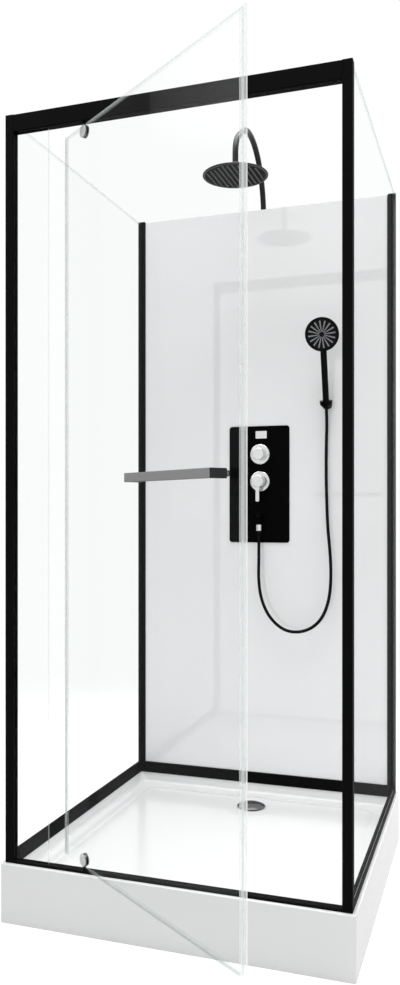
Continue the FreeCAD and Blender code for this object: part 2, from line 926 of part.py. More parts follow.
def make_door_glass():
    """Door leaf with its two pivot notches and the handle's holes."""
    leaf = box((-door_tail, door_nose), (-half_glass, half_glass), (door_bottom, door_top))
    across = (-half_glass - overrun, half_glass + overrun)
    notch_x = (-notch_half_width, notch_half_width)
    lower = (door_bottom - overrun, door_bottom + notch_depth)
    upper = (door_top - notch_depth, door_top + overrun)
    for z in (lower, upper):
        leaf = leaf.cut(round_edges(box(notch_x, across, z), notch_radius, runs_along(Y_WAY)))
    for x in handle_leg_middles():
        z = handle_bottom + handle_height / 2
        leaf = bored(leaf, handle_hole_radius, V(x, -half_glass, z), V(x, half_glass, z))
    return leaf


def make_free_seal():
    """Seal on the free edge, whose nose flares outwards to meet the post."""
    inner = half_glass + seal_wall
    nose = door_nose + seal_reach
    outside = -inner - nose_flare
    points = (
        (door_nose - seal_leg, -inner), (door_nose, -inner - seal_wall), (nose - seal_wall, outside),
        (nose, outside + seal_wall), (nose, outside + nose_thickness - seal_wall),
        (nose - seal_wall, outside + nose_thickness), (door_nose + seal_wall, inner),
        (door_nose - seal_leg, inner),
    )
    body = polygon([V(x, y, door_bottom) for x, y in points]).extrude(V(0, 0, door_top - door_bottom))
    slot = box((door_nose - seal_leg - overrun, door_nose), (-half_glass, half_glass),
               (door_bottom - overrun, door_top + overrun))
    return body.cut(slot)


def make_tail_seal():
    """Seal on the rear edge, with a thin fin that laps behind the fixed strip."""
    inner = half_glass + seal_wall
    height = (door_bottom, door_top)
    legs = box((-door_tail - seal_wall, -door_tail + seal_leg), (-inner, inner), height)
    slot = box((-door_tail, -door_tail + seal_leg + overrun), (-half_glass, half_glass),
               (door_bottom - overrun, door_top + overrun))
    fin = box((-door_tail - fin_reach, -door_tail + seal_wall),
              (half_glass + fin_offset, half_glass + fin_offset + fin_thickness), height)
    return legs.cut(slot).fuse(fin.cut(slot)).removeSplitter()


def make_drip_seal():
    """Seal under the door leaf that wipes over the sill."""
    inner = half_glass + seal_wall
    low = threshold_top + drip_clearance
    x = (drip_start, door_nose - seal_leg - seat_gap)
    body = box(x, (-inner, inner), (door_bottom - seal_wall, door_bottom + drip_leg))
    slot = box((x[0] - overrun, x[1] + overrun), (-half_glass, half_glass),
               (door_bottom, door_bottom + drip_leg + overrun))
    wiper = box(x, (-seal_wall / 2, seal_wall / 2), (low, door_bottom - seal_wall / 2))
    return body.cut(slot).fuse(wiper).removeSplitter()


def clamp_screw_places(middle_z):
    """Places of the two screws in a pivot clamp, on the side away from the pin."""
    way = 1 if middle_z == disc_middles[0] else -1
    return [(side * clamp_screw_offset, middle_z + way * clamp_screw_rise) for side in (-1, 1)]


def bush_ends():
    """Heights between which each bush lies, lower clamp first."""
    low, high = disc_middles
    return ((low - disc_radius - seat_gap, low - disc_radius + bush_length),
            (high + disc_radius - bush_length, high + disc_radius + seat_gap))


def without_bushes(shape):
    """Shape with the room of both bushes taken out."""
    for low, high in bush_ends():
        shape = bored(shape, bush_radius + slide_gap, V(0, 0, low), V(0, 0, high))
    return shape


def make_disc(middle_z, side):
    """One disc of a pivot clamp, side is -1 outside and 1 inside."""
    near = half_glass + pad_thickness
    start = V(0, side * near, middle_z)
    way = Y_WAY * side
    face = start + way * disc_thickness
    disc = rod(disc_radius, start, face)
    disc = without_bushes(round_edges(disc, disc_edge, round_rim(face, disc_radius)))
    for x, z in clamp_screw_places(middle_z):
        hole_start = V(x, side * near, z)
        if side > 0:
            hole_end = hole_start + way * disc_thickness
            disc = bored(disc, clamp_screw_radius + thread_gap, hole_start, hole_end)
            sink = hole_end - way * clamp_head_height
            disc = disc.cut(rod(clamp_head_radius + thread_gap, sink, hole_end + way * overrun))
        else:
            hole_end = hole_start + way * (clamp_screw_grip + seat_gap)
            disc = disc.cut(rod(clamp_screw_radius + thread_gap, hole_start - way * overrun, hole_end))
    return disc


def make_discs(side):
    """Both discs on one side of the leaf."""
    return Part.makeCompound([make_disc(z, side) for z in disc_middles])


def make_clamp_pads():
    """Rubber pads between the discs and the glass."""
    pads = []
    for middle_z in disc_middles:
        for side in (-1, 1):
            start = V(0, side * half_glass, middle_z)
            end = start + Y_WAY * (side * pad_thickness)
            pad = without_bushes(rod(disc_radius - pad_inset, start, end))
            for x, z in clamp_screw_places(middle_z):
                pad = bored(pad, clamp_screw_radius + seat_gap, V(x, start.y, z), V(x, end.y, z))
            pads += pad.Solids
    return Part.makeCompound(pads)


def make_clamp_screws():
    """Screws that pull the discs of each clamp together."""
    near = half_glass + pad_thickness
    face = near + disc_thickness
    under_head = face - clamp_head_height
    screws = []
    for middle_z in disc_middles:
        for x, z in clamp_screw_places(middle_z):
            head = rod(clamp_head_radius, V(x, under_head, z), V(x, face, z))
            shank = rod(clamp_screw_radius, V(x, -near - clamp_screw_grip, z), V(x, face, z))
            screws.append(head.fuse(shank))
    return Part.makeCompound(screws)


def make_bushes():
    """Bushes in the clamps that turn on the pivot pins."""
    bushes = []
    for low, high in bush_ends():
        bush = rod(bush_radius, V(0, 0, low), V(0, 0, high))
        bushes.append(bored(bush, pin_radius + slide_gap, V(0, 0, low), V(0, 0, high)))
    return Part.makeCompound(bushes)


def make_pivot_pins():
    """Collared pins that stand in the sill and hang from the top rail."""
    lower, upper = bush_ends()
    foot = V(pivot_x, front_glass_y, 0)
    spans = (
        (deck_z, lower[0] + pin_depth, threshold_top, lower[0] - seat_gap),
        (upper[1] - pin_depth, top_rail_bottom + pin_bite, upper[1] + seat_gap, top_rail_bottom),
    )
    pins = []
    for low, high, collar_low, collar_high in spans:
        pin = rod(pin_radius, foot + Z_WAY * low, foot + Z_WAY * high)
        collar = rod(pin_collar_radius, foot + Z_WAY * collar_low, foot + Z_WAY * collar_high)
        pins.append(pin.fuse(collar))
    return Part.makeCompound(pins)


# Door handle

def handle_leg_middles():
    """Places of the two legs along the leaf."""
    return (handle_near + handle_leg_width / 2, handle_near + handle_length - handle_leg_width / 2)


def make_handle():
    """Rectangular towel bar with its two legs."""
    z = (handle_bottom, handle_bottom + handle_height)
    far = handle_near + handle_length
    foot = -half_glass - washer_thickness
    blank = box((handle_near, far), (-handle_reach, foot), z)
    room = box((handle_near + handle_leg_width, far - handle_leg_width),
               (-handle_reach + handle_bar_thickness, foot + overrun), (z[0] - overrun, z[1] + overrun))
    front_edges = both(runs_along(X_WAY), lies_at(-handle_reach, Y_WAY))
    bar = round_edges(blank.cut(room), handle_edge_radius, front_edges)
    middle = handle_bottom + handle_height / 2
    hole_end = foot - handle_screw_grip - seat_gap
    for x in handle_leg_middles():
        hole = rod(handle_screw_radius + thread_gap, V(x, hole_end, middle), V(x, foot + overrun, middle))
        bar = bar.cut(hole)
    return bar


def make_handle_washers():
    """Washers on both faces of the glass under the legs and the caps."""
    washers = []
    z = handle_bottom + handle_height / 2
    for x in handle_leg_middles():
        half = handle_leg_width / 2
        y = (-half_glass - washer_thickness, -half_glass)
        outer = box((x - half, x + half), y, (z - half, z + half))
        inner = rod(handle_cap_radius, V(x, half_glass, z), V(x, half_glass + washer_thickness, z))
        ends = V(x, -half_glass, z), V(x, half_glass, z)
        for washer in (outer, inner):
            washers.append(bored(washer, handle_screw_radius + seat_gap, *ends))
    return Part.makeCompound(washers)


def make_handle_screws():
    """Screws with round caps that hold the bar from inside the cabin."""
    screws = []
    z = handle_bottom + handle_height / 2
    seat = half_glass + washer_thickness
    for x in handle_leg_middles():
        top = V(x, seat + handle_cap_height, z)
        cap = rod(handle_cap_radius, V(x, seat, z), top)
        cap = round_edges(cap, handle_cap_edge, round_rim(top, handle_cap_radius))
        shank = rod(handle_screw_radius, V(x, -seat - handle_screw_grip, z), V(x, seat + handle_cap_edge, z))
        screws.append(cap.fuse(shank))
    return Part.makeCompound(screws)


# Controls on the rear panel

def make_plate():
    """Flat control plate with round corners."""
    x = (plate_middle_x - plate_width / 2, plate_middle_x + plate_width / 2)
    plate = box(x, (plate_face, panel_face), (plate_bottom, plate_top))
    plate = round_edges(plate, plate_corner_radius, runs_along(Y_WAY))
    plate = round_edges(plate, plate_edge, lies_at(plate_face, Y_WAY))
    for z, radius in control_holes():
        plate = bored(plate, radius + seat_gap, V(valve_x, plate_face, z), V(valve_x, panel_face, z))
    return plate


def make_badge():
    """Small blank plate above the valves, with a plain groove across it."""
    half = badge_width / 2
    top = plate_top - badge_top_distance
    face = plate_face - badge_thickness
    x = (badge_middle_x - half, badge_middle_x + half)
    badge = box(x, (face, plate_face), (top - badge_height, top))
    badge = round_edges(badge, badge_corner_radius, runs_along(Y_WAY))
    groove_half = half - badge_groove_margin
    middle = top - badge_height / 2
    groove = box((badge_middle_x - groove_half, badge_middle_x + groove_half),
                 (face - overrun, face + badge_groove_depth),
                 (middle - badge_groove_half_height, middle + badge_groove_half_height))
    return badge.cut(groove)


def make_escutcheon(z):
    """Round cover with the sleeve that reaches through the panel."""
    face = V(valve_x, plate_face - escutcheon_thickness, z)
    flange = rod(escutcheon_radius, face, V(valve_x, plate_face, z))
    flange = round_edges(flange, escutcheon_edge, round_rim(face, escutcheon_radius))
    back = V(valve_x, panel_back + body_gap - seat_gap, z)
    sleeve = rod(sleeve_radius, V(valve_x, plate_face - escutcheon_edge, z), back)
    return bored(flange.fuse(sleeve), spindle_radius + slide_gap, face, back).removeSplitter()


def valve_back(z, depth):
    """Point inside the valve body on a control's axis."""
    return V(valve_x, panel_back + body_gap + depth, z)


def make_cartridge(z):
    """Cartridge behind a control, with the hole for its spindle."""
    cartridge = rod(cartridge_radius, valve_back(z, 0), valve_back(z, cartridge_depth))
    hole_end = valve_back(z, spindle_depth + seat_gap)
    return cartridge.cut(rod(spindle_radius + slide_gap, valve_back(z, -overrun), hole_end))


def knob_back_y():
    """Place of the knobs' rear faces."""
    return plate_face - escutcheon_thickness - seat_gap


def make_diverter_knob():
    """Knob with its pointer and spindle."""
    back = V(valve_x, knob_back_y(), diverter_z)
    front = back - Y_WAY * knob_length
    knob = round_edges(rod(knob_radius, front, back), knob_edge, round_rim(front, knob_radius))
    half = pointer_width / 2
    tip_x = valve_x + knob_radius + pointer_reach
    pointer = box((valve_x + knob_radius - overrun, tip_x), (back.y - pointer_thickness, back.y),
                  (diverter_z - half, diverter_z + half))
    pointer = round_edges(pointer, knob_edge, both(runs_along(Y_WAY), lies_at(tip_x, X_WAY)))
    spindle = rod(spindle_radius, back - Y_WAY * overrun, valve_back(diverter_z, spindle_depth))
    return knob.fuse([pointer, spindle]).removeSplitter()


def mixer_pivot():
    """Centre of the ball that the mixer's cap tilts on."""
    return V(valve_x, knob_back_y() - hub_length - ball_offset, mixer_z)


def make_mixer_hub():
    """Turning base of the mixer with its ball and spindle."""
    back = V(valve_x, knob_back_y(), mixer_z)
    front = back - Y_WAY * hub_length
    base = round_edges(rod(hub_radius, front, back), knob_edge, round_rim(front, hub_radius))
    ball = Part.makeSphere(ball_radius, mixer_pivot())
    room = rod(hub_radius, back - Y_WAY * mixer_length, back - Y_WAY * overrun)
    spindle = rod(spindle_radius, back - Y_WAY * overrun, valve_back(mixer_z, spindle_depth))
    return base.fuse([ball.common(room), spindle]).removeSplitter()


def make_mixer_lever():
    """Cap that tilts on the ball, with the lever that points down."""
    pivot = mixer_pivot()
    front = V(valve_x, knob_back_y() - mixer_length, mixer_z)
    skirt = V(valve_x, pivot.y - tilt_room, mixer_z)
    cap = round_edges(rod(knob_radius, front, skirt), knob_edge, round_rim(front, knob_radius))
    cavity = Part.makeSphere(ball_radius + slide_gap, pivot)
    half = lever_width / 2
    tip_z = mixer_z - lever_drop
    near_y = front.y + cap_wall
    lever = box((valve_x - half, valve_x + half), (near_y, near_y + lever_thickness), (tip_z, mixer_z))
    lever = round_edges(lever, lever_radius, both(lies_at(tip_z, Z_WAY), runs_along(Y_WAY)))
    return cap.fuse(lever).cut(cavity).removeSplitter()


def make_valve_body():
    """Brass body behind the panel: two inlets, two chambers and the pipe down to the hose outlet."""
    half = body_width / 2
    front_y = panel_back + body_gap
    body = box((valve_x - half, valve_x + half), (front_y, front_y + body_depth),
               (mixer_z - body_margin, diverter_z + body_margin))
    body = round_edges(body, body_edge, runs_along(Y_WAY))
    for side in (-1, 1):
        root = V(valve_x + side * half, front_y + body_depth / 2, mixer_z)
        way = X_WAY * side
        tip = root + way * (collar_length + inlet_length)
        collar = rod(collar_radius, root - way * overrun, root + way * collar_length)
        body = body.fuse([collar, rod(inlet_radius, root, tip)])
        body = bored(body, inlet_radius - inlet_wall, root, tip)
    pipe_top = V(valve_x, arm_back_y, mixer_z - body_margin + overrun)
    pipe_bottom = V(valve_x, arm_back_y, outlet_z - outlet_radius - feed_wall)
    body = body.fuse(rod(feed_radius, pipe_bottom, pipe_top))
    for z in (diverter_z, mixer_z):
        body = body.cut(rod(cartridge_radius, valve_back(z, -overrun), valve_back(z, cartridge_depth)))
    inlet = V(valve_x, arm_back_y, outlet_z)
    body = body.cut(rod(feed_radius - feed_wall, V(valve_x, front_y - overrun, outlet_z), inlet))
    return body.removeSplitter()


def make_outlet():
    """Elbow that leaves the plate and turns down to the hose."""
    seat = V(valve_x, plate_face, outlet_z)
    corner = V(valve_x, panel_face - outlet_reach, outlet_z)
    inner_end = V(valve_x, panel_back + body_gap - seat_gap, outlet_z)
    mouth = corner - Z_WAY * outlet_drop
    flange_face = seat - Y_WAY * outlet_flange_thickness
    flange = rod(outlet_flange_radius, flange_face, seat)
    flange = round_edges(flange, outlet_flange_edge, round_rim(flange_face, outlet_flange_radius))
    arm = rod(outlet_radius, corner, inner_end)
    knuckle = Part.makeSphere(outlet_radius, corner)
    elbow = arm.fuse([flange, knuckle, rod(outlet_leg_radius, corner, mouth)])
    elbow = elbow.cut(rod(outlet_bore_radius, corner, mouth - Z_WAY * overrun))
    elbow = elbow.cut(rod(outlet_bore_radius, corner, inner_end + Y_WAY * overrun))
    return elbow.removeSplitter()


def make_hose_nut():
    """Hexagon nut that holds the hose to the outlet."""
    return hexagon_bar(hose_nut_radius, hose_nut_turn_deg, hose_start, hose_nut_length)


# Hose

def smooth_path(points):
    """Straight runs joined by arcs that touch both of their runs."""
    edges = []
    start = points[0]
    for before, corner, after in zip(points, points[1:], points[2:]):
        first = before - corner
        second = after - corner
        half_turn = (math.pi - first.getAngle(second)) / 2
        cut = path_cut_share * min(first.Length, second.Length)
        radius = cut / math.tan(half_turn)
        inner = (first.normalize() + second.normalize()).normalize()
        entry = corner + first * cut
        leave = corner + second * cut
        middle = corner + inner * (radius / math.cos(half_turn) - radius)
        edges.append(Part.LineSegment(start, entry).toShape())
        edges.append(Part.Arc(entry, middle, leave).toShape())
        print("hose arc radius", round(radius, 1), "in diameters", round(radius / (hose_radius * 2), 1))
        start = leave
    edges.append(Part.LineSegment(start, points[-1]).toShape())
    return Part.Wire(edges)


def make_hose():
    """Flexible hose from the outlet nut to the handset."""
    path = smooth_path([hose_start + V(*step) for step in hose_route])
    hose = tube_along(path, hose_radius)
    print("hose length", round(path.Length, 1))
    return hose


# Handset, drawn upright at the cradle and then leant forward

def leant(shape):
    """Handset piece leant forward about the cradle."""
    placed = shape.copy()
    placed.translate(cradle)
    placed.rotate(cradle, X_WAY, lean_deg)
    return placed


def make_holder():
    """Bowl-shaped cradle on its wall flange."""
    half = bowl_height / 2
    bowl = turned(((0, -half), (bowl_bottom_radius, -half), (bowl_bend_radius, -half + bowl_bend_height),
                   (bowl_top_radius, half), (0, half)), V(0, 0, 0))
    rise_share = (cone_top_radius - cone_bottom_radius) / cone_length
    spread = seat_gap + rise_share * overrun
    low = -half - cone_proud - overrun
    seat = taper(cone_bottom_radius + seat_gap - rise_share * overrun, cone_top_radius + spread,
                 V(0, 0, low), V(0, 0, low + cone_length + overrun + overrun))
    slot_half = hose_slot_width / 2
    slot = box((-slot_half, slot_half), (-bowl_top_radius - overrun, 0), (low, half + overrun))
    start = V(cradle.x, panel_face, cradle.z)
    flange_face = start - Y_WAY * holder_flange_thickness
    flange = rod(holder_flange_radius, flange_face, start)
    flange = round_edges(flange, holder_flange_edge, round_rim(flange_face, holder_flange_radius))
    neck = rod(holder_neck_radius, cradle, start)
    return leant(bowl).fuse([neck, flange]).cut(leant(seat)).cut(leant(slot)).removeSplitter()


def make_cone():
    """Conical nut that joins hose and handset and rests in the cradle."""
    start = V(0, 0, -bowl_height / 2 - cone_proud)
    return leant(taper(cone_bottom_radius, cone_top_radius, start, start + Z_WAY * cone_length))


def handset_foot():
    """Height above the cradle's middle at which the handset's handle starts."""
    return cone_length - bowl_height / 2 - cone_proud


def head_placed(shape):
    """Piece of the spray head, drawn face down at the origin, put on the handle."""
    placed = shape.copy()
    face_deg = face_tilt_deg - lean_deg
    placed.rotate(V(0, 0, 0), X_WAY, face_deg - 90)
    rise = head_drop * math.cos(math.radians(face_deg))
    placed.translate(V(0, -handle_head_radius - face_proud, handset_foot() + handle_tube_length + rise))
    return leant(placed)


def make_handset():
    """Handle and head shell."""
    foot = V(0, 0, handset_foot())
    top = foot + Z_WAY * handle_tube_length
    back = head_thickness - head_dome
    bend = head_radius * head_dome_share
    handle = taper(handle_foot_radius, handle_head_radius, foot, top)
    tail = taper(handle_head_radius, handle_foot_radius, top, top + Z_WAY * bend)
    shell = turned(((0, 0), (head_radius, 0), (head_radius, back * head_dome_share),
                    (head_radius * head_rim_share, back), (bend, head_thickness - head_crown_drop),
                    (0, head_thickness)), V(0, 0, 0))
    recess = Part.makeCylinder(spray_radius, spray_thickness)
    whole = leant(handle).fuse([head_placed(shell), leant(tail)])
    return whole.cut(head_placed(recess)).removeSplitter()


def make_spray_face():
    """Spray disc with a round button and tapering radial rows of soft nozzles."""
    disc = Part.makeCylinder(spray_radius - slide_gap, spray_thickness)
    root = spoke_root_width / 2
    tip = spoke_end_width / 2
    end = spoke_start + spoke_length
    ribs = []
    for number in range(spoke_count):
        outline = [V(spoke_start, -root, -spoke_height), V(end, -tip, -spoke_height),
                   V(end, tip, -spoke_height), V(spoke_start, root, -spoke_height)]
        rib = polygon(outline).extrude(V(0, 0, spoke_height + spray_thickness / 2))
        rib.rotate(V(0, 0, 0), Z_WAY, 360 / spoke_count * number + spoke_turn_deg)
        ribs.append(rib)
    button = Part.makeCylinder(spray_button_radius, spray_button_depth)
    return head_placed(disc.fuse(ribs).cut(button).removeSplitter())


# Riser, arm and rain head

def arm_path():
    """Centreline of the riser and the swan neck, and its last point."""
    place = V(arm_x, arm_back_y, diverter_z + body_margin)
    heading = 90.0
    edges = []
    steps = (
        (arm_straight_top - place.z, 0, 0),
        (0, arm_first_radius, arm_first_deg),
        (0, arm_second_radius, arm_second_deg),
        (0, arm_third_radius, arm_third_deg),
        (arm_slope_length, 0, 0),
        (0, arm_last_radius, arm_last_deg),
        (arm_drop, 0, 0),
    )
    for run, radius, turn in steps:
        if run:
            end = place + arm_way(heading) * run
            edges.append(Part.LineSegment(place, end).toShape())
        else:
            centre = place + arm_way(heading - 90) * radius
            middle = centre + arm_way(heading - turn / 2 + 90) * radius
            end = centre + arm_way(heading - turn + 90) * radius
            edges.append(Part.Arc(place, middle, end).toShape())
            heading -= turn
        place = end
    return Part.Wire(edges), place


def arm_way(heading):
    """Direction in the arm's plane: 0 degrees points to the front, 90 up."""
    angle = math.radians(heading)
    return V(0, -math.cos(angle), math.sin(angle))


def swivel_centre():
    """Centre of the ball under the end of the arm."""
    end = arm_path()[1]
    return end - Z_WAY * socket_cup_height


def make_arm():
    """Riser pipe, swan neck and the socket that holds the ball from above."""
    path, end = arm_path()
    pipe = tube_along(path, arm_radius)
    centre = swivel_centre()
    outer = ball_joint_radius + socket_wall
    cup = rod(outer, V(end.x, end.y, centre.z + socket_depth), end)
    cup = round_edges(cup, socket_wall, round_rim(end, outer))
    bore = tube_along(path, arm_radius - arm_wall)
    ball_room = Part.makeSphere(ball_joint_radius + slide_gap, centre)
    return pipe.fuse(cup).cut(bore).cut(ball_room)


def make_swivel_ball():
    """Ball between the arm and the rain head."""
    return Part.makeSphere(ball_joint_radius, swivel_centre())


def make_arm_clips():
    """Clips that hold the riser to the back of the rear panel."""
    clips = []
    reach = arm_radius + clip_wall
    for z in (diverter_z + body_margin + clip_distance, frame_top - clip_distance - clip_height):
        block = box((arm_x - reach, arm_x + reach), (panel_back, arm_back_y + reach), (z, z + clip_height))
        block = round_edges(block, clip_wall, both(runs_along(Z_WAY), lies_at(arm_back_y + reach, Y_WAY)))
        foot = V(arm_x, arm_back_y, z)
        clips.append(bored(block, arm_radius + slide_gap, foot, foot + Z_WAY * clip_height))
    return Part.makeCompound(clips)


def rain_top_z():
    """Height of the rain head's upper face."""
    return swivel_centre().z - socket_depth - neck_height


def make_rain_head():
    """Round head with the neck that holds the ball from below."""
    centre = swivel_centre()
    top = rain_top_z()
    low = top - rain_thickness
    bend = rain_edge / 2
    disc = turned(((0, low), (rain_radius - bend, low), (rain_radius, low + bend),
                   (rain_radius, top - rain_rim_drop), (rain_radius - rain_edge, top - rain_edge),
                   (rain_radius * rain_crown_share, top), (0, top)), V(centre.x, centre.y, 0))
    neck_foot = V(centre.x, centre.y, top - rain_thickness / 2)
    neck = rod(ball_joint_radius + socket_wall, neck_foot, centre - Z_WAY * socket_depth)
    head = disc.fuse(neck).cut(Part.makeSphere(ball_joint_radius + slide_gap, centre))
    recess_foot = V(centre.x, centre.y, low)
    recess = rod(nozzle_plate_radius, recess_foot, recess_foot + Z_WAY * nozzle_plate_thickness)
    return head.cut(recess).removeSplitter()


def make_nozzle_plate():
    """Plate under the rain head with rows of nozzles from front to rear."""
    centre = swivel_centre()
    middle = V(centre.x, centre.y, rain_top_z() - rain_thickness)
    plate = Part.makeCylinder(nozzle_plate_radius - slide_gap, nozzle_plate_thickness, middle)
    field = nozzle_plate_radius - nozzle_margin
    rows = int(field / nozzle_row_pitch)
    length = nozzle_height + nozzle_plate_thickness / 2
    nozzles = []
    for row in range(-rows, rows + 1):
        row_x = row * nozzle_row_pitch
        count = int(math.sqrt(field ** 2 - row_x ** 2) / nozzle_pitch)
        for number in range(-count, count + 1):
            foot = middle + V(row_x, number * nozzle_pitch, -nozzle_height)
            nozzles.append(Part.makeCylinder(nozzle_radius, length, foot))
    return plate.fuse(nozzles).removeSplitter()


def main():
    """Build and write every piece."""
    os.makedirs("parts", exist_ok=True)
    save("tray_shell", make_tray())
    save("tray_support_frame", make_support_frame())
    save("levelling_feet", Part.makeCompound([make_foot(x, y) for x, y in foot_places()]))
    save("foot_lock_nuts", Part.makeCompound([make_lock_nut(x, y) for x, y in foot_places()]))
    save("drain_flange", make_drain_flange())
    save("drain_gasket", make_drain_gasket())
    save("drain_trap", make_trap())
    save("trap_cup", make_trap_cup())
    save("drain_cover", make_drain_cover())
    save("front_left_post", make_front_post(-1))
    save("front_right_post", make_front_post(1))
    save("rear_left_post", mirrored(make_rear_post()))
    save("rear_right_post", make_rear_post())
    save("post_caps", make_post_caps())
    save("top_rail", make_top_rail())
    save("threshold_rail", make_threshold())
    save("left_rail", mirrored(make_side_rail()))
    save("right_rail", make_side_rail())
    save("rear_rail", make_rear_rail())
    save("frame_screws", make_frame_screws())
    save("left_glass", mirrored(make_side_glass()))
    save("right_glass", make_side_glass())
    save("front_fixed_glass", make_strip_glass())
    save("rear_panel", make_rear_panel())
    save("glazing_beads", make_beads())
    save("door_glass", hung(make_door_glass()))
    save("door_free_seal", hung(make_free_seal()))
    save("door_rear_seal", hung(make_tail_seal()))
    save("door_bottom_seal", hung(make_drip_seal()))
    save("clamp_outer_discs", hung(make_discs(-1)))
    save("clamp_inner_discs", hung(make_discs(1)))
    save("clamp_pads", hung(make_clamp_pads()))
    save("clamp_screws", hung(make_clamp_screws()))
    save("pivot_bushes", hung(make_bushes()))
    save("pivot_pins", make_pivot_pins())
    save("handle_bar", hung(make_handle()))
    save("handle_washers", hung(make_handle_washers()))
    save("handle_screws", hung(make_handle_screws()))
    save("control_plate", make_plate())
    save("badge_plate", make_badge())
    save("diverter_escutcheon", make_escutcheon(diverter_z))
    save("mixer_escutcheon", make_escutcheon(mixer_z))
    save("diverter_cartridge", make_cartridge(diverter_z))
    save("mixer_cartridge", make_cartridge(mixer_z))
    save("diverter_knob", make_diverter_knob())
    save("mixer_hub", make_mixer_hub())
    save("mixer_lever", make_mixer_lever())
    save("valve_body", make_valve_body())
    save("outlet_elbow", make_outlet())
    save("hose_nut", make_hose_nut())
    save("shower_hose", make_hose())
    save("handset_holder", make_holder())
    save("hose_cone", make_cone())
    save("handset_body", make_handset())
    save("handset_face", make_spray_face())
    save("riser_arm", make_arm())
    save("arm_clips", make_arm_clips())
    save("swivel_ball", make_swivel_ball())
    save("rain_head_body", make_rain_head())
    save("rain_nozzle_plate", make_nozzle_plate())


main()
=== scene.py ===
import math

import bpy
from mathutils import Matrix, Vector


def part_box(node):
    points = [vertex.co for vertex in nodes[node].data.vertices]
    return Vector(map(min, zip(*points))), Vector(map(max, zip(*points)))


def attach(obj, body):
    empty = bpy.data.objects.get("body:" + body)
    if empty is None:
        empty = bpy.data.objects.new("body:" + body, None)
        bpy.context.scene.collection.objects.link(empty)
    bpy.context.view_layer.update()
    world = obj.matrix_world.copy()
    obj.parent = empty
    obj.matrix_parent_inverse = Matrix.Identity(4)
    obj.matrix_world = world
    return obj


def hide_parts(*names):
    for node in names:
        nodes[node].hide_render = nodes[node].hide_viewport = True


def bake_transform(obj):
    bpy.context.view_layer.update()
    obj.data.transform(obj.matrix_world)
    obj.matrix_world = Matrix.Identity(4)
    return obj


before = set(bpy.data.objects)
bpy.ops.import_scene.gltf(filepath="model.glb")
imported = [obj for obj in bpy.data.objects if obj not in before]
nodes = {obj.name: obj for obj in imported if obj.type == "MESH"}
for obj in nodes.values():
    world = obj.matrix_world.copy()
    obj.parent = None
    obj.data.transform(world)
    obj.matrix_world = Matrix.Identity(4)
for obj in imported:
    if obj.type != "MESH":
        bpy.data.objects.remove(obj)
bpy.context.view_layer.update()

MM = 0.001

# View of the photograph
CAMERA_PLACE = (741.15 * MM, -2374.0 * MM, 1046.19 * MM)
CAMERA_TURN = math.radians(18.8)
CAMERA_LEVEL = math.radians(90.0)
CAMERA_REACH = 100.0
FOCAL_PIXELS = 868.54
IMAGE_HEIGHT = 985
HORIZON_OFFSET_PIXELS = 17.53
SENSOR = 36.0

# Door leaf at rest. The normal points into the cabin, and the edge is this far from the pivot.
DOOR_OPEN = math.radians(35.2)
DOOR_NORMAL = (math.sin(DOOR_OPEN), math.cos(DOOR_OPEN), 0.0)
DOOR_ALONG = (math.cos(DOOR_OPEN), -math.sin(DOOR_OPEN), 0.0)
DOOR_PIVOT = (-224.0 * MM, -428.0 * MM, 0.0)
DOOR_EDGE = 612.0 * MM
DOOR_BOTTOM = 163.5 * MM

# Glass: what it mirrors head-on, how fast that grows towards a grazing view, and the pale rim of a pane
HEAD_ON_MIRROR = 0.04
GRAZING_POWER = 5.0
GLASS_HAZE = 0.02
HAZE_PATCHES = 5.0
GLASS_TINT = (0.990, 0.994, 0.993)
RIM_TINT = (0.90, 0.96, 0.94)
RIM_ROUGH = 0.18
RIM_SPECULAR = 0.6
RIM_MOTTLE = 0.03
RIM_PATCHES = 14.0
BAND_STARTS_UNDER_TOP = 8.0 * MM
BAND_FULL_UNDER_TOP = 6.0 * MM
BAND_SHARE = 0.2
PANE_FACE = 0.7

# Seals: how see-through each part is, from 0 to 1, and where the parts begin
SEAL_TINT = (0.984, 0.990, 0.988)
SEAL_CLEAR = 0.85
SEAL_ROUGH = 0.22
SEAL_MOTTLE = 0.05
SEAL_PATCHES = 30.0
LEGS_CLEAR = 0.965
NOSE_CLEAR = 0.72
NOSE_LINE_LESS_CLEAR = 0.58
NOSE_WIDTH = 12.0 * MM
NOSE_LINE_BEHIND = -2.8 * MM
NOSE_END = 0.6
CHANNEL_CLEAR = 0.95
WIPER_CLEAR = 0.78
WIPER_UNDER_DOOR = 1.2 * MM

# Surfaces: spread of the roughness, noise patterns per metre and the heights between which painted shade
# darkens a colour towards the top
ROUGH_SPREAD = 0.05
NOISE_ROUGHNESS = 0.55
GRAIN_DETAIL = 2.0
GRAIN_DEPTH = 0.2 * MM
STREAK_SCALE = (60.0, 60.0, 3000.0)
STREAK_DEPTH = 0.1 * MM
STREAK_BUMP = 0.05
STREAK_MOTTLE = 0.1
# Faces turned this far towards the normal take the lit face colour: painted light, with painted shade on the
# rest
LIT_FACE_ACROSS = (0.6, 0.9)
PAINTED_SHADE_HEIGHTS = (0.1, 1.9)

# Rounded rear corners of the basin, which the rails' lips follow
CORNER_MIDDLE = 421.0 * MM
CORNER_RADII = (7.0 * MM, 8.7 * MM)
LIP_HEIGHTS = (135.0 * MM, 150.0 * MM)
LIP_STEPS = 12

# Discs of the two sprays, dark with lighter rubber on top
SPRAY_ROUGH = 0.5
SPRAY_PATCHES = 60.0
DISC_MOTTLE = 0.1
RUBBER_MOTTLE = 0.08

# Rubber is what stands out to within this depth of a disc's outermost point
NOZZLE_DEPTH = -0.9 * MM
RIB_DEPTH = -0.5 * MM

# The handset's disc faces forward and this much down
SPRAY_TILT = math.radians(20.0)

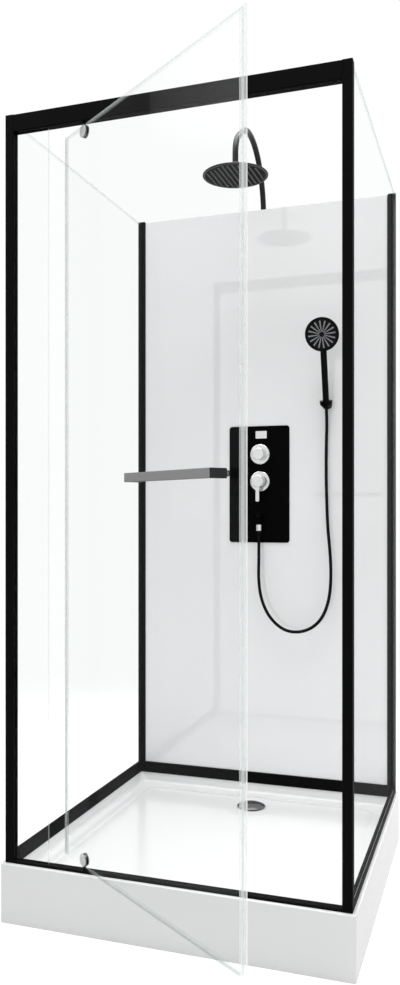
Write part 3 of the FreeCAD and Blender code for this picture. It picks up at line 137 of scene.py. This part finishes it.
# Hose, the same points as the part's route, measured from the nut's lower end
HOSE_RADIUS = 5.2 * MM
HOSE_START = (-1.1 * MM, 411.0 * MM, 978.0 * MM)
HOSE_ROUTE = (
    (0.0, 0.0, 0.0),
    (0.0, 0.0, -37.0),
    (1.1, -4.0, -92.0),
    (1.1, -10.0, -162.0),
    (11.1, -14.0, -226.0),
    (40.1, -16.0, -286.0),
    (93.1, -18.0, -328.0),
    (158.1, -18.0, -327.0),
    (210.1, -17.0, -290.0),
    (236.1, -15.0, -226.0),
    (242.6, -12.0, -156.0),
    (239.6, -8.0, -78.0),
    (230.1, -3.0, 7.0),
    (225.6, 2.0, 97.0),
    (223.1, 5.0, 192.0),
    (223.6, 7.0, 284.0),
    (226.6, 1.9, 355.5),
    (226.6, -9.1, 395.0),
)
HOSE_ORDER = 3
HOSE_POINTS_PER_STRETCH = 12
HOSE_ROUNDNESS = 5

# Floor: grey and glow of the part near the cabin, and how far out it has faded to white
FLOOR_HALF = 12.0
FLOOR_GREY = 0.36
FLOOR_GLOW = 0.74
FLOOR_WHITE = (1.6, 3.2)
FLOOR_UNSEEN = 0.80

# Surroundings that reflections see. Ways go from -1 to 1 to the left, to the front and up.
MIRRORED_BRIGHT = 0.85
MIRRORED_DARK = 0.35
DARK_LEFT = (0.45, 0.92)
DARK_ENDS_UP = (0.45, 0.85)
LAMP_LEFT = (0.30, 0.60)
LAMP_UP = (0.375, 0.41)
LAMP_FRONT = (-0.042, -0.036)
LAMP_GROWS_FRONT = (-0.036, 0.055)
LAMP_STRENGTH = (0.6, 2.4)

# Surroundings that light the rest
AMBIENT = 0.53

# Sockets of a node that blends colours
BLEND_SHARE, BLEND_FIRST, BLEND_SECOND = 0, 6, 7
BLEND_RESULT = 2


class Tree:
    """Adds and links the shader nodes of one material or world."""

    def __init__(self, owner):
        owner.use_nodes = True
        self.tree = owner.node_tree
        self.tree.nodes.clear()

    def add(self, kind, settings=None, inputs=None):
        """New node. Each input is a plain value or the output of another node."""
        node = self.tree.nodes.new(kind)
        for name, value in (settings or {}).items():
            setattr(node, name, value)
        for name, value in (inputs or {}).items():
            socket = node.inputs[name]
            if isinstance(value, bpy.types.NodeSocket):
                self.tree.links.new(value, socket)
            else:
                socket.default_value = value
        return node

    def math(self, operation, *values):
        return self.add("ShaderNodeMath", {"operation": operation}, dict(enumerate(values))).outputs[0]

    def vector(self, operation, result, *values):
        node = self.add("ShaderNodeVectorMath", {"operation": operation}, dict(enumerate(values)))
        return node.outputs[result]

    def dot(self, vector, axis):
        return self.vector("DOT_PRODUCT", "Value", vector, axis)

    def coordinate(self, kind):
        """Object for the shaded place, Normal for its normal, or Generated for the way that a ray goes."""
        return self.add("ShaderNodeTexCoord").outputs[kind]

    def place_from(self, point):
        return self.vector("SUBTRACT", "Vector", self.coordinate("Object"), point)

    def parts(self, vector):
        """X, Y and Z of a vector."""
        return self.add("ShaderNodeSeparateXYZ", None, {0: vector}).outputs

    def height(self):
        return self.parts(self.coordinate("Object"))["Z"]

    def across(self, axis):
        """1 on faces square to the axis and 0 on faces along it."""
        return self.math("ABSOLUTE", self.dot(self.coordinate("Normal"), axis))

    def noise(self, scale, detail=3.0):
        inputs = {"Vector": self.coordinate("Object"), "Scale": scale, "Detail": detail,
                  "Roughness": NOISE_ROUGHNESS}
        return self.add("ShaderNodeTexNoise", None, inputs).outputs["Fac"]

    def span(self, value, low, high, start=0.0, end=1.0):
        """The value, which runs from start to end, spread from low to high."""
        inputs = {"Value": value, "From Min": start, "From Max": end, "To Min": low, "To Max": high}
        return self.add("ShaderNodeMapRange", None, inputs).outputs["Result"]

    def step(self, value, low, high):
        """0 below low and 1 above high, smooth between."""
        inputs = {"Value": value, "From Min": low, "From Max": high}
        return self.add("ShaderNodeMapRange", {"interpolation_type": "SMOOTHSTEP"}, inputs).outputs["Result"]

    def around(self, value, middle, spread):
        """The value, which runs from 0 to 1, spread evenly around the middle."""
        return self.span(value, middle - spread, middle + spread)

    def blend(self, share, first, second):
        """First colour where the share is 0 and second where it is 1."""
        inputs = {BLEND_SHARE: share, BLEND_FIRST: first, BLEND_SECOND: second}
        return self.add("ShaderNodeMix", {"data_type": "RGBA"}, inputs).outputs[BLEND_RESULT]

    def mix(self, share, first, second):
        """First shader where the share is 0 and second where it is 1."""
        return self.add("ShaderNodeMixShader", None, {0: share, 1: first, 2: second}).outputs[0]

    def surface(self, inputs):
        return self.add("ShaderNodeBsdfPrincipled", None, inputs).outputs[0]

    def clear(self, tint):
        return self.add("ShaderNodeBsdfTransparent", None, {"Color": colour(tint)}).outputs[0]

    def diffuse(self, tone):
        return self.add("ShaderNodeBsdfDiffuse", None, {"Color": colour(tone)}).outputs[0]

    def glow(self, strength):
        return self.add("ShaderNodeEmission", None, {"Color": colour(1.0), "Strength": strength}).outputs[0]

    def bump(self, height, strength, depth):
        inputs = {"Height": height, "Strength": strength, "Distance": depth}
        return self.add("ShaderNodeBump", None, inputs).outputs[0]

    def rays(self):
        """1 for a ray that the camera sees, also through glass, and 1 for a ray of a reflection."""
        path = self.add("ShaderNodeLightPath").outputs
        seen = self.math("MAXIMUM", path["Is Camera Ray"], path["Is Transmission Ray"])
        return seen, path["Is Glossy Ray"]

    def finish(self, shader, kind="ShaderNodeOutputMaterial"):
        self.add(kind, None, {"Surface": shader})


def colour(value):
    """A grey from one number, or a colour from three."""
    if isinstance(value, (int, float)):
        value = (value, value, value)
    return (*value, 1.0)


def scaled(base, factor):
    """The colour with each part times the factor, and no part above 1."""
    return colour([min(part * factor, 1.0) for part in base])


def new_material(name):
    """Empty material and the tree that fills it."""
    material = bpy.data.materials.new(name)
    return material, Tree(material)


def show(name, data):
    """Object in the scene that shows a mesh, a curve, a lamp or a camera."""
    shown = bpy.data.objects.new(name, data)
    bpy.context.scene.collection.objects.link(shown)
    return shown


def paint(material, *names):
    """Give CAD nodes a material."""
    for name in names:
        mesh = nodes[name].data
        mesh.materials.clear()
        mesh.materials.append(material)


# Kinds of material

def coated(name, base, shade, rough, rough_spread, grain, bump, metal=0.0, specular=0.5, coat=0.0,
           coat_rough=0.05, patch=6.0, painted_top_shade=None):
    """Painted, moulded or plated surface with a slight mottle, a fine grain and uneven gloss.

    Patches and grain are counted per metre. With painted_top_shade, painted shade darkens the colour up the
    height, to the base times that at the top."""
    material, tree = new_material(name)
    mottle = tree.noise(patch)
    fine = tree.noise(grain, GRAIN_DETAIL)
    shown = tree.blend(mottle, scaled(base, 1 - shade), scaled(base, 1 + shade))
    if painted_top_shade is not None:
        # Painted light and shade: lighter low on the cabin, darker towards the top
        shown = tree.blend(tree.step(tree.height(), *PAINTED_SHADE_HEIGHTS), shown, scaled(base, painted_top_shade))
    tree.finish(tree.surface({
        "Base Color": shown,
        "Roughness": tree.around(mottle, rough, rough_spread),
        "Metallic": metal,
        "Specular IOR Level": specular,
        "Coat Weight": coat,
        "Coat Roughness": coat_rough,
        "Normal": tree.bump(fine, bump, GRAIN_DEPTH),
    }))
    return material


def pane(name, normal, gloss, edge, rim_clear, tint=GLASS_TINT, top=None):
    """Clear sheet with a sheen on its faces and a pale edge. With a top, a pale band just under it too."""
    material, tree = new_material(name)
    facing = tree.add("ShaderNodeLayerWeight", None, {"Blend": 0.5}).outputs["Facing"]
    grazing = tree.math("POWER", facing, GRAZING_POWER)
    sheen = tree.math("MULTIPLY_ADD", grazing, (1.0 - HEAD_ON_MIRROR) * gloss, HEAD_ON_MIRROR * gloss)
    haze = tree.span(tree.noise(HAZE_PATCHES), 0.0, GLASS_HAZE)
    mirror = tree.add("ShaderNodeBsdfAnisotropic", None, {"Color": colour(1.0), "Roughness": haze}).outputs[0]
    face = tree.mix(sheen, tree.clear(tint), mirror)
    mottle = tree.noise(RIM_PATCHES)
    rim_shade = tree.blend(mottle, scaled(edge, 1 - RIM_MOTTLE), scaled(edge, 1 + RIM_MOTTLE))
    rim = tree.surface({
        "Base Color": rim_shade,
        "Roughness": RIM_ROUGH,
        "Specular IOR Level": RIM_SPECULAR,
    })
    if top is not None:
        band = tree.step(tree.height(), top - BAND_STARTS_UNDER_TOP, top - BAND_FULL_UNDER_TOP)
        face = tree.mix(tree.math("MULTIPLY", band, BAND_SHARE), face, rim)
    rim = tree.mix(rim_clear, rim, tree.clear(RIM_TINT))
    is_face = tree.math("GREATER_THAN", tree.across(normal), PANE_FACE)
    tree.finish(tree.mix(is_face, rim, face))
    return material


def soft_clear(name, base, glow=0.0, see_through=None):
    """Clear plastic of a seal. see_through says how clear it is at an offset from the door's pivot. glow is
    painted light: the body gives off light of its own, though the seal is no lamp.
    """
    material, tree = new_material(name)
    mottle = tree.noise(SEAL_PATCHES)
    body = tree.surface({
        "Base Color": tree.blend(mottle, scaled(base, 1 - SEAL_MOTTLE), colour(base)),
        "Roughness": tree.around(mottle, SEAL_ROUGH, ROUGH_SPREAD),
        "Specular IOR Level": 0.5,
        # Painted light: the seal's body glows
        "Emission Color": colour(1.0),
        "Emission Strength": glow,
    })
    share = see_through(tree, tree.place_from(DOOR_PIVOT)) if see_through else SEAL_CLEAR
    tree.finish(tree.mix(share, body, tree.clear(SEAL_TINT)))
    return material


def free_seal_clear(tree, offset):
    """Legs nearly clear, nose milky, and a bright line along the rear edge of the nose's end."""
    nose = tree.step(tree.dot(offset, DOOR_ALONG), DOOR_EDGE, DOOR_EDGE + NOSE_WIDTH)
    on_end = tree.math("GREATER_THAN", tree.dot(tree.coordinate("Normal"), DOOR_ALONG), NOSE_END)
    behind = tree.math("GREATER_THAN", tree.dot(offset, DOOR_NORMAL), NOSE_LINE_BEHIND)
    line = tree.math("MULTIPLY", on_end, behind)
    less = tree.math("MULTIPLY", line, NOSE_LINE_LESS_CLEAR)
    return tree.math("SUBTRACT", tree.span(nose, LEGS_CLEAR, NOSE_CLEAR), less)


def bottom_seal_clear(tree, offset):
    """Channel nearly clear, wiper under it milky."""
    wiper = tree.math("LESS_THAN", tree.parts(offset)["Z"], DOOR_BOTTOM - WIPER_UNDER_DOOR)
    return tree.span(wiper, CHANNEL_CLEAR, WIPER_CLEAR)


def lit_face_shaded_sides(name, face, side, normal, rough, metal):
    """Bar or disc with a brushed face and darker sides: painted light on the face and painted shade on the
    sides, chosen by which way each face points.
    """
    material, tree = new_material(name)
    inputs = {"Vector": tree.coordinate("Object"), "Scale": STREAK_SCALE}
    streaks = tree.add("ShaderNodeMapping", None, inputs).outputs[0]
    inputs = {"Vector": streaks, "Scale": 1.0, "Detail": GRAIN_DETAIL}
    lines = tree.add("ShaderNodeTexNoise", None, inputs).outputs["Fac"]
    brushed = tree.blend(lines, scaled(face, 1 - STREAK_MOTTLE), scaled(face, 1 + STREAK_MOTTLE))
    tree.finish(tree.surface({
        # Painted light on faces square to the normal and painted shade on the sides
        "Base Color": tree.blend(tree.step(tree.across(normal), *LIT_FACE_ACROSS), colour(side), brushed),
        "Roughness": tree.around(lines, rough, ROUGH_SPREAD),
        "Metallic": metal,
        "Normal": tree.bump(lines, STREAK_BUMP, STREAK_DEPTH),
    }))
    return material


def raised(name, base, top, origin, normal, height, specular):
    """Dark disc whose raised ribs or nozzles, above a height along the normal, are of a lighter rubber."""
    material, tree = new_material(name)
    on_top = tree.math("GREATER_THAN", tree.dot(tree.place_from(origin), normal), height)
    mottle = tree.noise(SPRAY_PATCHES)
    low = tree.blend(mottle, scaled(base, 1 - DISC_MOTTLE), colour(base))
    high = tree.blend(mottle, scaled(top, 1 - RUBBER_MOTTLE), colour(top))
    tree.finish(tree.surface({
        "Base Color": tree.blend(on_top, low, high),
        "Roughness": tree.around(mottle, SPRAY_ROUGH, ROUGH_SPREAD),
        "Specular IOR Level": specular,
    }))
    return material


# Materials of the CAD pieces

def paint_whites():
    """Acrylic tray, glossy rear panel and the plastic parts that are out of sight."""
    paint(coated("acrylic", base=(0.822, 0.824, 0.827), shade=0.010, rough=0.20, rough_spread=0.04,
                 grain=500.0, bump=0.01, coat=0.25),
          "tray_shell")
    # The rear panel is painted lighter at the bottom and darker at the top: painted light and shade
    paint(coated("panel_white", base=(0.935, 0.937, 0.945), shade=0.008, rough=0.012, rough_spread=0.008,
                 grain=300.0, bump=0.0002, coat=1.0, coat_rough=0.004, painted_top_shade=0.865),
          "rear_panel")
    paint(coated("white_plastic", base=(0.78, 0.78, 0.77), shade=0.03, rough=0.4, rough_spread=0.05,
                 grain=900.0, bump=0.03),
          "drain_trap", "trap_cup", "diverter_cartridge", "mixer_cartridge")


def paint_blacks():
    """Painted frame, moulded plastic and rubber."""
    paint(coated("powder_black", base=(0.0035, 0.0035, 0.0037), shade=0.15, rough=0.50, rough_spread=0.05,
                 grain=2600.0, bump=0.08, specular=0.03),
          "front_left_post", "front_right_post", "rear_left_post", "rear_right_post", "top_rail",
          "threshold_rail", "left_rail", "right_rail", "rear_rail", "frame_screws")
    paint(coated("cap_black", base=(0.012, 0.012, 0.012), shade=0.08, rough=0.38, rough_spread=0.05,
                 grain=2000.0, bump=0.05, specular=0.2),
          "handle_screws")
    paint(coated("satin_black", base=(0.007, 0.007, 0.0075), shade=0.12, rough=0.3, rough_spread=0.05,
                 grain=1800.0, bump=0.03, specular=0.3),
          "riser_arm", "rain_head_body", "pivot_pins")
    paint(coated("moulded_black", base=(0.0025, 0.0025, 0.0026), shade=0.1, rough=0.32, rough_spread=0.06,
                 grain=1500.0, bump=0.03, specular=0.06),
          "post_caps", "handset_holder", "hose_cone", "handset_body", "arm_clips", "pivot_bushes")
    paint(coated("plate_black", base=(0.0008, 0.0008, 0.0008), shade=0.2, rough=0.42, rough_spread=0.05,
                 grain=1500.0, bump=0.02, specular=0.03),
          "control_plate", "outlet_elbow")
    paint(coated("rubber_black", base=(0.012, 0.012, 0.0125), shade=0.12, rough=0.6, rough_spread=0.06,
                 grain=1200.0, bump=0.05, specular=0.15),
          "glazing_beads", "clamp_pads", "handle_washers", "drain_gasket")
    paint(coated("hose_black", base=(0.006, 0.006, 0.0063), shade=0.1, rough=0.42, rough_spread=0.05,
                 grain=1500.0, bump=0.04, specular=0.05),
          "shower_hose")


def paint_metals():
    """Chrome, the brushed handle and clamps with painted light on their faces and painted shade on their
    sides, zinc and brass.
    """
    # Handle and clamps: their lit faces and shaded sides are painted
    paint(lit_face_shaded_sides("handle_grey", face=(0.36, 0.36, 0.365), side=(0.010, 0.010, 0.0105), normal=DOOR_NORMAL,
                   rough=0.36, metal=0.35),
          "handle_bar")
    paint(lit_face_shaded_sides("clamp_chrome", face=(0.90, 0.90, 0.905), side=(0.17, 0.17, 0.175), normal=DOOR_NORMAL,
                   rough=0.22, metal=0.18),
          "clamp_outer_discs", "clamp_inner_discs")
    paint(coated("chrome", base=(0.73, 0.73, 0.735), shade=0.02, rough=0.20, rough_spread=0.03,
                 grain=900.0, bump=0.01, metal=1.0),
          "diverter_escutcheon", "mixer_escutcheon", "diverter_knob", "mixer_hub", "mixer_lever",
          "clamp_screws", "drain_flange", "swivel_ball", "badge_plate")
    paint(coated("cover_chrome", base=(0.17, 0.17, 0.175), shade=0.05, rough=0.2, rough_spread=0.04,
                 grain=900.0, bump=0.01, metal=1.0),
          "drain_cover")
    paint(coated("nut_chrome", base=(0.90, 0.90, 0.905), shade=0.02, rough=0.42, rough_spread=0.04,
                 grain=900.0, bump=0.01, metal=0.7),
          "hose_nut")
    paint(coated("zinc", base=(0.50, 0.51, 0.53), shade=0.12, rough=0.42, rough_spread=0.08,
                 grain=700.0, bump=0.05, metal=0.9, patch=70.0),
          "tray_support_frame", "levelling_feet", "foot_lock_nuts")
    paint(coated("brass", base=(0.56, 0.42, 0.20), shade=0.12, rough=0.45, rough_spread=0.08,
                 grain=900.0, bump=0.12, metal=0.95, patch=40.0),
          "valve_body")


def paint_glass():
    """Panes and the clear seals of the door."""
    paint(pane("side_pane", (1.0, 0.0, 0.0), gloss=0.03, edge=(0.82, 0.87, 0.85), rim_clear=0.5,
               top=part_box("left_glass")[1].z),
          "left_glass", "right_glass")
    paint(pane("strip_pane", (0.0, 1.0, 0.0), gloss=0.25, edge=(0.78, 0.83, 0.81), rim_clear=0.65),
          "front_fixed_glass")
    paint(pane("door_pane", DOOR_NORMAL, gloss=0.2, edge=(0.84, 0.90, 0.88), rim_clear=0.72,
               tint=(0.988, 0.992, 0.992), top=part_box("door_glass")[1].z),
          "door_glass")
    paint(soft_clear("seal_clear", (0.80, 0.84, 0.83)), "door_rear_seal")
    paint(soft_clear("seal_wiper", (0.36, 0.41, 0.41), see_through=bottom_seal_clear), "door_bottom_seal")
    # The milky seal glows: painted brightness in place of the white that its faces reflect, on its nose and
    # the line along the nose's end
    paint(soft_clear("seal_milky", (0.96, 0.975, 0.97), glow=0.14, see_through=free_seal_clear),
          "door_free_seal")


def paint_sprays():
    """Rain head's nozzle plate and the handset's spray disc, both black with grey rubber on top."""
    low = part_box("rain_nozzle_plate")[0]
    paint(raised("nozzles", base=(0.015, 0.015, 0.0155), top=(0.20, 0.20, 0.205), origin=(0, 0, low.z),
                 normal=(0, 0, -1.0), height=NOZZLE_DEPTH, specular=0.02),
          "rain_nozzle_plate")
    normal = Vector((0.0, -math.cos(SPRAY_TILT), -math.sin(SPRAY_TILT)))
    reach = max(vertex.co.dot(normal) for vertex in nodes["handset_face"].data.vertices)
    paint(raised("spray_ribs", base=(0.006, 0.006, 0.0065), top=(0.30, 0.30, 0.31),
                 origin=tuple(normal * reach), normal=tuple(normal), height=RIB_DEPTH, specular=0.08),
          "handset_face")


# Pieces made here

def make_hose():
    """Hose as one smooth tube between the outlet nut and the handset's cone."""
    curve = bpy.data.curves.new("hose_line", "CURVE")
    curve.dimensions = "3D"
    curve.resolution_u = HOSE_POINTS_PER_STRETCH
    spline = curve.splines.new("NURBS")
    spline.points.add(len(HOSE_ROUTE) - 1)
    for point, step in zip(spline.points, HOSE_ROUTE):
        place = [start + part * MM for start, part in zip(HOSE_START, step)]
        point.co = (*place, 1.0)
    spline.order_u = HOSE_ORDER
    spline.use_endpoint_u = True

    holder = show("hose_line", curve)
    bpy.context.view_layer.update()
    line = bpy.data.meshes.new_from_object(holder)
    curve.bevel_depth = HOSE_RADIUS
    curve.bevel_resolution = HOSE_ROUNDNESS
    curve.use_fill_caps = True
    bpy.context.view_layer.update()
    graph = bpy.context.evaluated_depsgraph_get()
    tube = bpy.data.meshes.new_from_object(holder.evaluated_get(graph))
    bpy.data.objects.remove(holder)
    tube.materials.clear()
    tube.materials.append(nodes["shower_hose"].data.materials[0])

    hose = show("hose", tube)
    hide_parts("shower_hose")
    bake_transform(hose)


def make_corner_lip(side):
    """Curved trim that joins the rails' lips in a rear corner of the basin, side -1 is the left one."""
    points = []
    for number in range(LIP_STEPS + 1):
        angle = math.pi / 2 * number / LIP_STEPS
        for radius in CORNER_RADII:
            x = side * (CORNER_MIDDLE + radius * math.cos(angle))
            y = CORNER_MIDDLE + radius * math.sin(angle)
            points.extend((x, y, height) for height in LIP_HEIGHTS)
    ring = (0, 1, 3, 2) if side < 0 else (0, 2, 3, 1)
    last = LIP_STEPS * len(ring)
    faces = [ring, tuple(last + corner for corner in reversed(ring))]
    for start in range(0, last, len(ring)):
        after = start + len(ring)
        for first, second in zip(ring, ring[1:] + ring[:1]):
            faces.append((start + first, after + first, after + second, start + second))
    mesh = bpy.data.meshes.new("corner_lip")
    mesh.from_pydata(points, [], faces)
    mesh.materials.append(nodes["rear_rail"].data.materials[0])
    lip = show("corner_lip_left" if side < 0 else "corner_lip_right", mesh)
    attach(lip, "cabin")


# Stage, light and camera

def make_floor():
    """Floor, white with a soft shadow to the camera. Reflections see it plain and darker on the left."""
    half = FLOOR_HALF
    mesh = bpy.data.meshes.new("floor")
    corners = [(-half, -half, 0), (half, -half, 0), (half, half, 0), (-half, half, 0)]
    mesh.from_pydata(corners, [], [(0, 1, 2, 3)])
    material, tree = new_material("floor_white")
    seen, glossy = tree.rays()
    place = tree.coordinate("Object")
    reach = tree.vector("LENGTH", "Value", place)
    near = {0: tree.diffuse(FLOOR_GREY), 1: tree.glow(FLOOR_GLOW)}
    near = tree.add("ShaderNodeAddShader", None, near).outputs[0]
    bright = tree.mix(tree.step(reach, *FLOOR_WHITE), near, tree.glow(1.0))
    left = tree.math("MULTIPLY", tree.parts(place)["X"], -1.0)
    dark = tree.step(tree.math("DIVIDE", left, reach), *DARK_LEFT)
    mirrored = tree.glow(tree.span(dark, MIRRORED_BRIGHT, MIRRORED_DARK))
    unseen = tree.mix(glossy, tree.diffuse(FLOOR_UNSEEN), mirrored)
    tree.finish(tree.mix(seen, unseen, bright))
    mesh.materials.append(material)
    floor = show("floor", mesh)


def make_world():
    """Surroundings that the camera sees as white. Reflections see a darker left side with a lamp above it."""
    world = bpy.data.worlds.new("studio")
    bpy.context.scene.world = world
    tree = Tree(world)
    seen, glossy = tree.rays()
    right, rear, up = tree.parts(tree.coordinate("Generated"))
    left = tree.math("MULTIPLY", right, -1.0)
    front = tree.math("MULTIPLY", rear, -1.0)
    low = tree.math("SUBTRACT", 1.0, tree.step(up, *DARK_ENDS_UP))
    dark = tree.math("MULTIPLY", tree.step(left, *DARK_LEFT), low)
    lamp = tree.span(front, *LAMP_STRENGTH, *LAMP_GROWS_FRONT)
    for way, limits in ((left, LAMP_LEFT), (up, LAMP_UP), (front, LAMP_FRONT)):
        lamp = tree.math("MULTIPLY", lamp, tree.step(way, *limits))
    mirrored = tree.math("ADD", tree.span(dark, MIRRORED_BRIGHT, MIRRORED_DARK), lamp)
    strength = tree.math("MAXIMUM", tree.span(glossy, AMBIENT, mirrored), seen)
    back = tree.add("ShaderNodeBackground", None, {"Color": colour(1.0), "Strength": strength})
    tree.finish(back.outputs[0], "ShaderNodeOutputWorld")


def add_area(name, place, target, size, power, mirrored=True):
    """Large soft lamp that points at a target, hidden from reflections if mirrored is False."""
    lamp = bpy.data.lights.new(name, "AREA")
    lamp.shape = "RECTANGLE"
    lamp.size, lamp.size_y = size
    lamp.energy = power
    holder = show(name, lamp)
    holder.location = place
    holder.rotation_euler = (Vector(target) - Vector(place)).to_track_quat("-Z", "Y").to_euler()
    holder.visible_camera = False
    holder.visible_glossy = mirrored


def make_lights():
    """Soft light from above, and a little from the right rear and the front."""
    add_area("top_light", place=(0.2, -0.3, 5.2), target=(0.0, 0.0, 0.0), size=(4.0, 4.0), power=264.0)
    add_area("right_light", place=(1.5, 1.35, 0.8), target=(0.45, 0.45, 0.1), size=(1.0, 1.0), power=10.0,
             mirrored=False)
    add_area("front_light", place=(-0.8, -5.5, 2.4), target=(0.0, 0.0, 1.0), size=(3.5, 3.0), power=7.0)


def make_camera():
    """Camera at the photograph's place, level and turned a little to the left."""
    data = bpy.data.cameras.new("camera")
    data.sensor_width = SENSOR
    data.lens = FOCAL_PIXELS * SENSOR / IMAGE_HEIGHT
    data.shift_y = HORIZON_OFFSET_PIXELS / IMAGE_HEIGHT
    data.clip_end = CAMERA_REACH
    camera = show("camera", data)
    camera.location = CAMERA_PLACE
    camera.rotation_euler = (CAMERA_LEVEL, 0.0, CAMERA_TURN)
    bpy.context.scene.camera = camera


make_camera()
paint_whites()
paint_blacks()
paint_metals()
paint_glass()
paint_sprays()
make_hose()
make_corner_lip(-1)
make_corner_lip(1)
make_floor()
make_world()
make_lights()
bpy.context.scene.view_settings.view_transform = "Standard"
